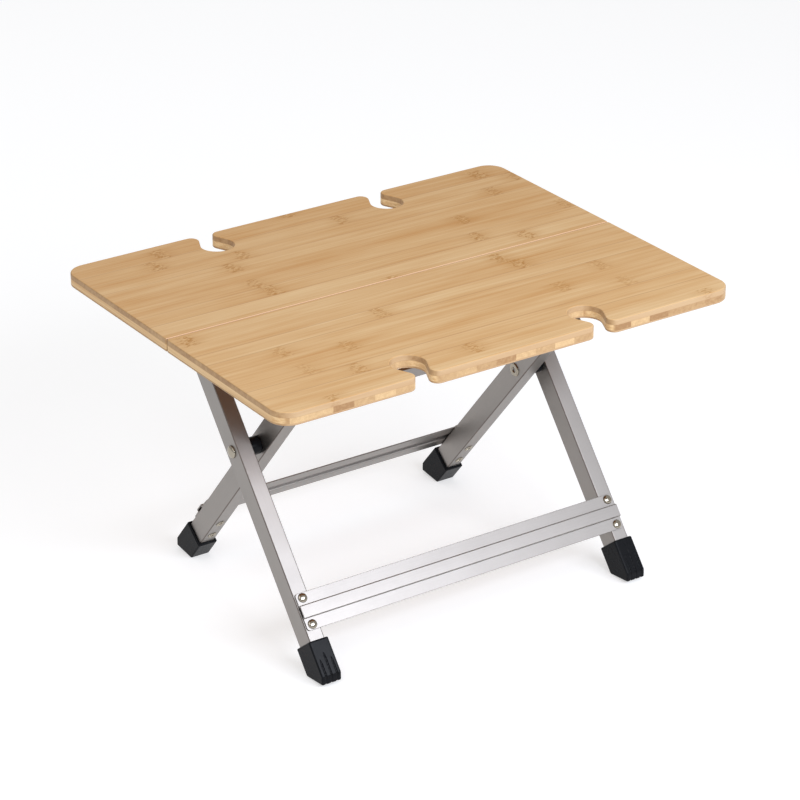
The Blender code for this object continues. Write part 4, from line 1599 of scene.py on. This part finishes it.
@dataclass
class LegFrame:
    """One X-leg frame: two tubes, their crossbars, boots, plugs, rivets and top pins.

    face is the local Y direction of the lower crossbar, and ear_side is +1 where the brackets sit
    outside the legs and -1 where they sit between them.
    """

    name: str
    leg_x: float
    face: int
    ear_side: int
    side: Side
    rivet: TubularRivet = field(default_factory=TubularRivet)
    rivet_off: float = 0.0134
    plug_cap: float = 0.0018
    rivet_deep: float = 0.0060
    plug_deep: float = 0.0048
    blind_radius: float = 0.0040
    blind_height: float = 0.0014
    blind_shank: float = 0.0025
    blind_deep: float = 0.0040
    blind_mouth: float = 0.0011
    pin_radius: float = 0.0030
    pin_head_radius: float = 0.0050
    pin_head_height: float = 0.0024
    pin_dimple: float = 0.0018
    bracket_sheet: float = 0.0020
    lower_bar: Crossbar = field(
        default_factory=lambda: Crossbar(0.1705, 0.01865, 0.0015, rib_half=0.0065, rib_rise=0.0040)
    )
    upper_bar: Crossbar = field(default_factory=lambda: Crossbar(-0.1107, 0.0125, 0.0030))

    @property
    def body(self) -> str:
        """The moving body of this frame."""
        return f"{self.name}_frame"

    @property
    def axis(self) -> Matrix:
        """Where the frame's own origin is: on its pin axis, leaning with its legs."""
        joint = next(j for j in frame["joints"] if j["child"] == self.body)
        lean = -self.side.value * LEG_LEAN
        return Matrix.Translation(joint["pos_m"]) @ Matrix.Rotation(lean, 4, "X")

    def at(self, x: float, y: float = 0.0, z: float = 0.0) -> Matrix:
        """A place in the frame's own axes."""
        return self.axis @ Matrix.Translation((x, y, z))

    def tube(self, bench: Bench, hand: Hand) -> None:
        """A rectangular tube with rounded edges, open at both ends."""
        top, bottom = LEG.over_pin, at_station(LEG.foot_end)
        outer = rounded_rect(LEG.half_wide, LEG.half_deep, LEG.edge_radius)
        inner = rounded_rect(LEG.half_wide - LEG.wall, LEG.half_deep - LEG.wall, 0.0004)
        rings = [[along_z(x, y, z) for x, y in outer] for z in (bottom, top)]
        rings += [[along_z(x, y, z) for x, y in inner] for z in (top, bottom)]
        mesh = skin(f"{self.name}_tube_{hand.word}", rings, loop=True)
        name = f"{self.name}_leg_tube_{hand.word}"
        place = self.at(hand.value * self.leg_x)
        finish = OUTER_TUBE if self.side is Side.REAR else INNER_TUBE
        bench.place(name, mesh, finish, self.body, place, [f"{self.name}_leg_{hand.word}"])

    def plug(self, bench: Bench, hand: Hand) -> None:
        """The slightly crowned plug in a tube's upper end."""
        low = LEG.over_pin
        room = LEG.wall + GAP
        body = rounded_rect(LEG.half_wide - room, LEG.half_deep - room, 0.0006)
        rings = [[along_z(x, y, z) for x, y in body] for z in (low - self.plug_deep, low + GAP)]
        crown = ((0.0, 0.0), (0.0, 0.5), (0.00015, 0.75), (0.0005, 0.92), (0.0012, 1.0))
        for inset, share in crown:
            cap = rounded_rect(LEG.half_wide - inset, LEG.half_deep - inset, LEG.edge_radius)
            height = low + GAP + self.plug_cap * share
            rings.append([along_z(x, y, height) for x, y in cap])
        mesh = skin(f"{self.name}_plug_{hand.word}", rings)
        name = f"{self.name}_end_plug_{hand.word}"
        place = self.at(hand.value * self.leg_x)
        bench.place(name, mesh, NYLON, self.body, place, [f"{self.name}_leg_plug_{hand.word}"])

    def boot(self, bench: Bench, hand: Hand) -> None:
        """The ribbed boot on a tube's lower end."""
        mesh = Boot(self.face).mesh(f"{self.name}_boot_{hand.word}")
        name = f"{self.name}_ribbed_boot_{hand.word}"
        place = self.at(hand.value * self.leg_x)
        bench.place(name, mesh, NYLON, self.body, place, [f"{self.name}_foot_{hand.word}"])

    def crossbars(self, bench: Bench) -> None:
        """The ribbed lower crossbar and the flat upper one."""
        lower = self.lower_bar.mesh(f"{self.name}_ribbed_bar", self.leg_x, self.face)
        nodes = [f"{self.name}_lower_crossbar"]
        bench.place(f"{self.name}_ribbed_crossbar", lower, ALUMINIUM_BAR, self.body, self.axis, nodes)
        upper = self.upper_bar.mesh(f"{self.name}_flat_bar", self.leg_x, -self.face)
        nodes = [f"{self.name}_upper_crossbar"]
        bench.place(f"{self.name}_flat_crossbar", upper, ALUMINIUM_BAR, self.body, self.axis, nodes, 0.0004)

    def bar_rivets(self, bench: Bench, hand: Hand) -> None:
        """Heads and rolled tails of the two rivets at one end of the lower crossbar."""
        turn = Matrix.Rotation(-self.face * QUARTER, 4, "X")
        seat = LEG.half_deep + GAP + self.lower_bar.sheet + GAP / 3
        head = self.rivet.head_mesh(f"{self.name}_rivet_head_{hand.word}", seat, seat - self.rivet_deep)
        tail = self.rivet.tail_mesh(f"{self.name}_rivet_tail_{hand.word}", -LEG.half_deep - GAP / 3)
        for row, way in (("upper", 1), ("lower", -1)):
            height = at_station(self.lower_bar.station) + way * self.rivet_off
            place = self.at(hand.value * self.leg_x, 0, height) @ turn
            node = f"{self.name}_crossbar_rivet_{hand.word}_{row}"
            label = f"{hand.word}_{row}"
            bench.place(f"{self.name}_rivet_head_{label}", head, NICKEL, self.body, place, [node])
            bench.place(f"{self.name}_rivet_tail_{label}", tail, NICKEL, self.body, place)

    def blind_rivet(self, bench: Bench, hand: Hand) -> None:
        """The low head and punched middle of the upper crossbar's blind rivet."""
        seat = LEG.half_deep + GAP + self.upper_bar.sheet + GAP / 3
        mouth, shank, foot = self.blind_mouth, self.blind_shank, seat - self.blind_deep
        crown = dome(self.blind_radius, self.blind_height, seat, lip=0.0003)
        profile = [(0, seat + 0.0002), (mouth, seat + 0.0002), (mouth, seat + 0.9 * self.blind_height)]
        profile += [point for point in crown if point[0] > mouth + 0.0003]
        profile += [(shank, seat), (shank, foot), (0, foot)]
        mesh = turned(f"{self.name}_blind_{hand.word}", profile)
        turn = Matrix.Rotation(self.face * QUARTER, 4, "X")
        place = self.at(hand.value * self.leg_x, 0, at_station(self.upper_bar.station)) @ turn
        name = f"{self.name}_blind_rivet_{hand.word}"
        bench.place(name, mesh, NICKEL, self.body, place, [f"{self.name}_upper_rivet_{hand.word}"])

    def top_pin(self, bench: Bench, hand: Hand) -> None:
        """The rivet that a leg's top end turns on."""
        head = LEG.half_wide + self.bracket_sheet + 2 * GAP
        tail = -LEG.half_wide - GAP
        profile = dome(self.pin_head_radius, self.pin_head_height, head, lip=0.0005)
        profile += [
            (self.pin_radius, head),
            (self.pin_radius, tail),
            (self.pin_head_radius, tail),
            (self.pin_head_radius, tail - 0.0003),
            (self.pin_head_radius - 0.0005, tail - 0.0009),
            (self.pin_dimple + 0.0004, tail - 0.0010),
            (self.pin_dimple, tail - 0.0006),
            (0, tail - 0.0005),
        ]
        mesh = turned(f"{self.name}_pin_{hand.word}", profile)
        turn = Matrix.Rotation(hand.value * self.ear_side * QUARTER, 4, "Y")
        place = self.at(hand.value * self.leg_x) @ turn
        name = f"{self.name}_leg_pin_{hand.word}"
        bench.place(name, mesh, NICKEL, self.body, place, [f"{self.name}_top_pin_{hand.word}"])

    def build(self, bench: Bench) -> None:
        """Make every piece of the frame."""
        self.crossbars(bench)
        for hand in Hand:
            self.tube(bench, hand)
            self.plug(bench, hand)
            self.boot(bench, hand)
            self.bar_rivets(bench, hand)
            self.blind_rivet(bench, hand)
            self.top_pin(bench, hand)


@dataclass
class Crossing:
    """The pivot where two legs cross: a domed rivet, a spacer and a rolled tail."""

    outer: LegFrame
    inner: LegFrame
    pin: float = 0.0040
    head_radius: float = 0.0065
    head_height: float = 0.0032
    tail_radius: float = 0.0072
    tail_height: float = 0.0014
    tail_bore: float = 0.0026
    tail_bore_deep: float = 0.0060
    spacer_radius: float = 0.0092
    spacer_ease: float = 0.0012

    def build(self, bench: Bench, hand: Hand) -> None:
        """Make the three pieces at one end.

        Args:
            bench: Where pieces are placed.
            hand: The end of the table.
        """
        turn = Matrix.Rotation(hand.value * QUARTER, 4, "Y")
        on_outer = self.outer.at(hand.value * self.outer.leg_x, 0, at_station(0)) @ turn
        on_inner = self.inner.at(hand.value * self.inner.leg_x, 0, at_station(0)) @ turn
        between = self.inner.leg_x + LEG.half_wide - self.outer.leg_x

        seat = LEG.half_wide + GAP / 3
        profile = dome(self.head_radius, self.head_height, seat, 10, lip=0.0007)
        profile += [(self.pin, seat), (self.pin, between + GAP), (0, between + GAP)]
        head = turned(f"crossing_head_{hand.word}", profile, 48)
        name = f"crossing_rivet_{hand.word}"
        bench.place(name, head, NICKEL, self.outer.body, on_outer, [f"cross_rivet_{hand.word}"])

        bore = self.pin + GAP
        low, high = between + GAP, -LEG.half_wide - GAP
        wide, ease = self.spacer_radius, self.spacer_ease
        third = ease / 3
        ring = [(bore, high), (wide - ease, high)]
        ring += [(wide - third, high - third), (wide, high - ease), (wide, low + ease)]
        ring += [(wide - third, low + third), (wide - ease, low), (bore, low)]
        spacer = turned(f"crossing_spacer_{hand.word}", ring, 56)
        name = f"crossing_bush_{hand.word}"
        bench.place(name, spacer, NYLON, self.outer.body, on_outer, [f"cross_spacer_{hand.word}"])

        back = -LEG.half_wide - GAP / 3
        rim = self.tail_bore
        lip = self.tail_height
        profile = [(0, LEG.half_wide - GAP), (self.pin, LEG.half_wide - GAP), (self.pin, back)]
        profile += [(self.tail_radius, back), (self.tail_radius, back - 0.3 * lip)]
        profile += [(self.tail_radius - 0.0004, back - 0.7 * lip), (self.tail_radius - 0.0013, back - lip)]
        profile += [(rim + 0.0013, back - lip), (rim + 0.0004, back - 0.75 * lip), (rim, back - 0.3 * lip)]
        profile += [(rim, back + self.tail_bore_deep), (0, back + self.tail_bore_deep)]
        tail = turned(f"crossing_tail_{hand.word}", profile, 48)
        name = f"crossing_rolled_tail_{hand.word}"
        bench.place(name, tail, NICKEL, self.inner.body, on_inner, [f"cross_rivet_tail_{hand.word}"])


# ---------------------------------------------------------------- brackets and hinges


@dataclass
class Bracket:
    """A bent angle of sheet: a flange screwed under the panel and an ear beside the leg."""

    frame: LegFrame
    underside: float
    sheet: float = 0.0020
    flange: float = 0.0220
    seam_side: float = 0.0200
    edge_side: float = 0.0100
    ear_radius: float = 0.0090
    bend: float = 0.0026
    ear_from: float = math.radians(35)
    shoulder: float = 0.0125
    ease: float = 0.00025
    screw_out: float = 0.0135
    screw_offsets: tuple[float, float] = (-0.0140, 0.0040)
    screw_turns: tuple[float, float] = (-2.54, 1.24)

    def ear_bottom(self, out: float, side_top: float) -> float:
        """Height of the ear's lower edge below the pin axis at a distance from it, edge side positive."""
        if abs(out) <= self.ear_radius:
            arc_low = -math.sqrt(max(0.0, self.ear_radius**2 - out**2))
        else:
            arc_low = side_top
        foot_y = -self.ear_radius * math.cos(self.ear_from)
        foot_z = -self.ear_radius * math.sin(self.ear_from)
        if out < foot_y:
            share = (out - foot_y) / (-self.seam_side - foot_y)
            return foot_z + (side_top - foot_z) * share
        return arc_low

    def mesh(self, name: str, out_way: int) -> bpy.types.Mesh:
        """Make the bracket about its pin, the flange going towards out_way.

        Args:
            name: Name of the mesh.
            out_way: +1 or -1 along X.

        Returns:
            The mesh.
        """
        side = self.frame.side.value
        top = self.underside - GAP - PIN_HEIGHT
        thick, bend = self.sheet, self.bend
        side_top = top - thick - 0.002
        stops = [-self.seam_side + self.shoulder * i / 6 for i in range(7)]
        turns = [self.ear_from + (QUARTER - self.ear_from) * i / 8 for i in range(9)]
        stops += [-self.ear_radius * math.cos(turn) for turn in turns]
        stops += [self.ear_radius * math.sin(QUARTER * i / 10) for i in range(1, 11)]
        stops.append(self.edge_side)
        rings = []
        for stop in sorted({round(y, 6) for y in stops}):
            low = min(self.ear_bottom(stop, side_top), top - bend - 0.0004)
            section = arc((bend, top - bend), bend, 180, 90, 5)
            section += [(self.flange, top), (self.flange, top - thick)]
            section += arc((bend, top - bend), bend - thick, 90, 180, 5)
            section += [(thick, low), (0, low)]
            rings.append([Vector((out_way * p, side * stop, q)) for p, q in section])
        return skin(name, rings)

    def build(self, bench: Bench, hand: Hand, screw: bpy.types.Mesh) -> None:
        """Make one bracket with its two screws.

        Args:
            bench: Where pieces are placed.
            hand: The end of the table.
            screw: Mesh of a screw.
        """
        owner = self.frame
        out = hand.value * owner.ear_side
        near = hand.value * owner.leg_x + out * (LEG.half_wide + GAP)
        pin_y = owner.axis.translation.y
        body = owner.side.body
        label = f"{owner.name}_bracket_{hand.word}"
        place = Matrix.Translation((near, pin_y, PIN_HEIGHT))
        angle = f"{owner.name}_angle_{hand.word}"
        bench.place(angle, self.mesh(label, out), ZINC, body, place, [label], self.ease)
        seat = self.underside - GAP - self.sheet
        for row, offset, turn in zip(("seam", "edge"), self.screw_offsets, self.screw_turns):
            spot = (near + out * self.screw_out, pin_y + owner.side.value * offset, seat - SCREW_PROUD)
            at = Matrix.Translation(spot) @ Matrix.Rotation(turn, 4, "Z")
            bench.place(f"{angle}_screw_{row}", screw, ZINC, body, at, [f"{label}_screw_{row}"])


@dataclass
class SeamHinge:
    """A strap hinge below the seam, whose webs reach down to the fold's axis."""

    underside: float
    x: float = 0.195
    length: float = 0.050
    leaf: float = 0.0280
    sheet: float = 0.0020
    web_in: float = 0.0010
    bend: float = 0.0026
    knuckle_radius: float = 0.0035
    knuckle_half: float = 0.0085
    pin_radius: float = 0.00175
    pin_room: float = 0.0002
    pin_head_radius: float = 0.0026
    pin_head_height: float = 0.0008
    notch_rise: float = 0.0048
    notch_drop: float = 0.0060
    notch_half: float = 0.0062
    notch_radius: float = 0.0005
    rim_ease: float = 0.0004
    overcut: float = 0.0010
    screw_x: float = 0.0165
    screw_out: float = 0.0175
    screw_turn: float = 0.7

    def knuckles(self, side: Side) -> tuple[list[tuple[float, float]], list[tuple[float, float]]]:
        """Ranges along X of this leaf's knuckles and of the other leaf's."""
        end = self.length / 2
        middle = [(-self.knuckle_half, self.knuckle_half)]
        ends = [(-end, -self.knuckle_half - GAP), (self.knuckle_half + GAP, end)]
        return (ends, middle) if side is Side.FRONT else (middle, ends)

    def leaf_mesh(self, name: str, side: Side) -> bpy.types.Mesh:
        """Make one leaf about the hinge's pin.

        Args:
            name: Name of the mesh.
            side: The panel it is screwed to.

        Returns:
            The mesh.
        """
        top = self.underside - GAP - PIN_HEIGHT
        near, bend, thick = self.web_in, self.bend, self.sheet
        end = self.length / 2
        section = arc((near + bend, top - bend), bend, 180, 90, 5)
        ease, rim = self.rim_ease, near + self.leaf - self.rim_ease
        section += arc((rim, top - ease), ease, 90, 0, 2)
        section += arc((rim, top - thick + ease), ease, 0, -90, 2)
        section += arc((near + bend, top - bend), bend - thick, 90, 180, 5)
        section += [(near + thick, 0.0), (near, 0.0)]
        section = [(side.value * p, q) for p, q in section]
        leaf = prism(name, section, -end, end, along_x)
        own, other = self.knuckles(side)
        tall, middle = (self.notch_rise + self.notch_drop) / 2, (self.notch_rise - self.notch_drop) / 2
        block = rounded_rect(self.notch_half, tall, self.notch_radius, 2)
        block = [(p, q + middle) for p, q in block]
        notches = []
        for low, high in other:
            start = low - (GAP if low > -end else self.overcut)
            stop = high + (GAP if high < end else self.overcut)
            notches.append(prism(f"{name}_notch", block, start, stop, along_x))
        leaf = combined(leaf, notches, "DIFFERENCE")
        barrel = arc((0, 0), self.knuckle_radius, 0, 360, 32)[:-1]
        barrels = [prism(f"{name}_knuckle", barrel, low, high, along_x) for low, high in own]
        leaf = combined(leaf, barrels, "UNION")
        bore = arc((0, 0), self.pin_radius + self.pin_room, 0, 360, 24)[:-1]
        reach = end + 2 * self.overcut
        return combined(leaf, [prism(f"{name}_bore", bore, -reach, reach, along_x)], "DIFFERENCE")

    def pin_mesh(self, name: str) -> bpy.types.Mesh:
        """The pin with its two peened heads, along Z."""
        end = self.length / 2 + GAP
        rim, tall = self.pin_head_radius, self.pin_head_height
        head = [(0, end + tall), (0.6 * rim, end + 0.9 * tall), (0.93 * rim, end + 0.55 * tall), (rim, end)]
        foot = [(radius, -height) for radius, height in reversed(head)]
        return turned(name, head + [(self.pin_radius, end), (self.pin_radius, -end)] + foot, 28)

    def build(self, bench: Bench, hand: Hand, screw: bpy.types.Mesh) -> None:
        """Make one hinge with its screws.

        Args:
            bench: Where pieces are placed.
            hand: The end of the table.
            screw: Mesh of a screw.
        """
        middle = hand.value * self.x
        place = Matrix.Translation((middle, 0, PIN_HEIGHT))
        for side in Side:
            label = f"seam_hinge_{side.word}_leaf_{hand.word}"
            mesh = self.leaf_mesh(f"{label}_plate", side)
            name = f"seam_strap_{side.word}_{hand.word}"
            bench.place(name, mesh, ZINC, side.body, place, [label])
            seat = self.underside - GAP - self.sheet
            for way in (-1, 1):
                spot = (middle + way * self.screw_x, side.value * self.screw_out, seat - SCREW_PROUD)
                at = Matrix.Translation(spot) @ Matrix.Rotation(self.screw_turn * way + middle, 4, "Z")
                end = "inner" if way * hand.value < 0 else "outer"
                bench.place(f"{name}_screw_{end}", screw, ZINC, side.body, at)
        turn = Matrix.Rotation(QUARTER, 4, "Y")
        pin = self.pin_mesh(f"seam_pin_{hand.word}")
        name = f"seam_strap_pin_{hand.word}"
        bench.place(name, pin, ZINC, Side.FRONT.body, place @ turn, [f"seam_hinge_pin_{hand.word}"])


# ---------------------------------------------------------------- studio


@dataclass(frozen=True)
class SoftBox:
    """A rectangular soft light that faces the table."""

    name: str
    way: tuple[float, float, float]
    distance: float
    wide: float
    high: float
    power: float
    colour: tuple[float, float, float] = (1.0, 1.0, 1.0)


@dataclass(frozen=True)
class Studio:
    """Pale floor, soft lights and the camera."""

    lens: float = 140.54
    yaw: float = math.radians(34.1514)
    pitch: float = math.radians(25.505)
    roll: float = math.radians(0.0986)
    distance: float = 3.1082
    target: tuple[float, float, float] = (0.00406, 0.0, 0.18758)
    floor_size: float = 8.0
    floor_paint: tuple[float, float, float] = (0.60, 0.60, 0.60)
    floor_glow: float = 0.50
    light_aim: float = 0.2
    floor_roughness: float = 0.85
    floor_specular: float = 0.10
    floor_drop: float = 0.0001
    sky: tuple[float, float, float] = (0.60, 0.60, 0.61)
    boxes: tuple[SoftBox, ...] = (
        SoftBox("key_box", (0.23, -1.24, 0.74), 1.8, 1.3, 0.6, 23.5, (1.0, 1.055, 1.165)),
        SoftBox("left_box", (-0.75, -0.35, 0.75), 2.2, 1.4, 1.4, 9.0),
        SoftBox("rear_box", (0.10, 0.85, 0.75), 2.4, 1.6, 1.6, 4.0),
    )

    def camera(self) -> None:
        """Set the camera up from its yaw, pitch and roll about the target."""
        flat = math.cos(self.pitch)
        back = Vector((-math.sin(self.yaw) * flat, -math.cos(self.yaw) * flat, math.sin(self.pitch)))
        right = (-back).cross(Vector((0, 0, 1))).normalized()
        up = right.cross(-back)
        turn, tilt = math.cos(self.roll), math.sin(self.roll)
        axes = (turn * right + tilt * up, turn * up - tilt * right, back)
        data = bpy.data.cameras.new("studio_camera")
        data.lens = self.lens
        data.clip_start = 0.1
        data.clip_end = 50.0
        camera = bpy.data.objects.new("studio_camera", data)
        bpy.context.scene.collection.objects.link(camera)
        place = Matrix(axes).transposed().to_4x4()
        place.translation = Vector(self.target) + back * self.distance
        camera.matrix_world = place
        bpy.context.scene.camera = camera

    def light(self, box: SoftBox) -> None:
        """Hang one soft light so that it faces the table."""
        data = bpy.data.lights.new(box.name, "AREA")
        data.shape = "RECTANGLE"
        data.size = box.wide
        data.size_y = box.high
        data.energy = box.power
        data.color = box.colour
        lamp = bpy.data.objects.new(box.name, data)
        bpy.context.scene.collection.objects.link(lamp)
        way = Vector(box.way).normalized()
        place = way.to_track_quat("Z", "Y").to_matrix().to_4x4()
        place.translation = Vector((0, 0, self.light_aim)) + way * box.distance
        lamp.matrix_world = place

    def floor(self) -> None:
        """A plain pale floor that isn't part of the object."""
        half = self.floor_size / 2
        ways = ((-1, -1), (1, -1), (1, 1), (-1, 1))
        corners = [Vector((x * half, y * half, -self.floor_drop)) for x, y in ways]
        mesh = bpy.data.meshes.new("studio_floor")
        mesh.from_pydata(corners, [], [(0, 1, 2, 3)])
        paint = bpy.data.materials.new("pale_floor")
        paint.use_nodes = True
        shader = paint.node_tree.nodes["Principled BSDF"]
        shader.inputs["Base Color"].default_value = (*self.floor_paint, 1.0)
        shader.inputs["Emission Color"].default_value = (1.0, 1.0, 1.0, 1.0)
        shader.inputs["Emission Strength"].default_value = self.floor_glow
        shader.inputs["Roughness"].default_value = self.floor_roughness
        shader.inputs["Specular IOR Level"].default_value = self.floor_specular
        mesh.materials.append(paint)
        floor = bpy.data.objects.new("studio_floor", mesh)
        bpy.context.scene.collection.objects.link(floor)

    def build(self) -> None:
        """Set the whole studio up."""
        world = bpy.data.worlds.new("studio_sky")
        bpy.context.scene.world = world
        world.use_nodes = True
        world.node_tree.nodes["Background"].inputs["Color"].default_value = (*self.sky, 1.0)
        bpy.context.scene.view_settings.view_transform = "Standard"
        self.camera()
        self.floor()
        for box in self.boxes:
            self.light(box)


# ---------------------------------------------------------------- the table


def main() -> None:
    """Build the table and the studio round it."""
    logging.basicConfig(level=logging.INFO, format="%(name)s: %(message)s")
    low, high = CAD_BOX
    bench = Bench()
    for side, finish in ((Side.FRONT, BAMBOO_FRONT), (Side.REAR, BAMBOO_REAR)):
        BoardPanel(side, finish, high.x - low.x, high.y, high.z).build(bench)
    outer = LegFrame("outer", leg_x=0.1830, face=-1, ear_side=1, side=Side.REAR)
    inner = LegFrame("inner", leg_x=0.1534, face=1, ear_side=-1, side=Side.FRONT)
    outer.build(bench)
    inner.build(bench)
    crossing = Crossing(outer, inner)
    underside = high.z - BoardPanel.thickness
    screw = WoodScrew().mesh("countersunk_screw")
    hinge = SeamHinge(underside)
    for hand in Hand:
        crossing.build(bench, hand)
        hinge.build(bench, hand, screw)
        for leg_frame in (outer, inner):
            Bracket(leg_frame, underside).build(bench, hand, screw)
    Studio().build()


if __name__ == "__main__":
    main()
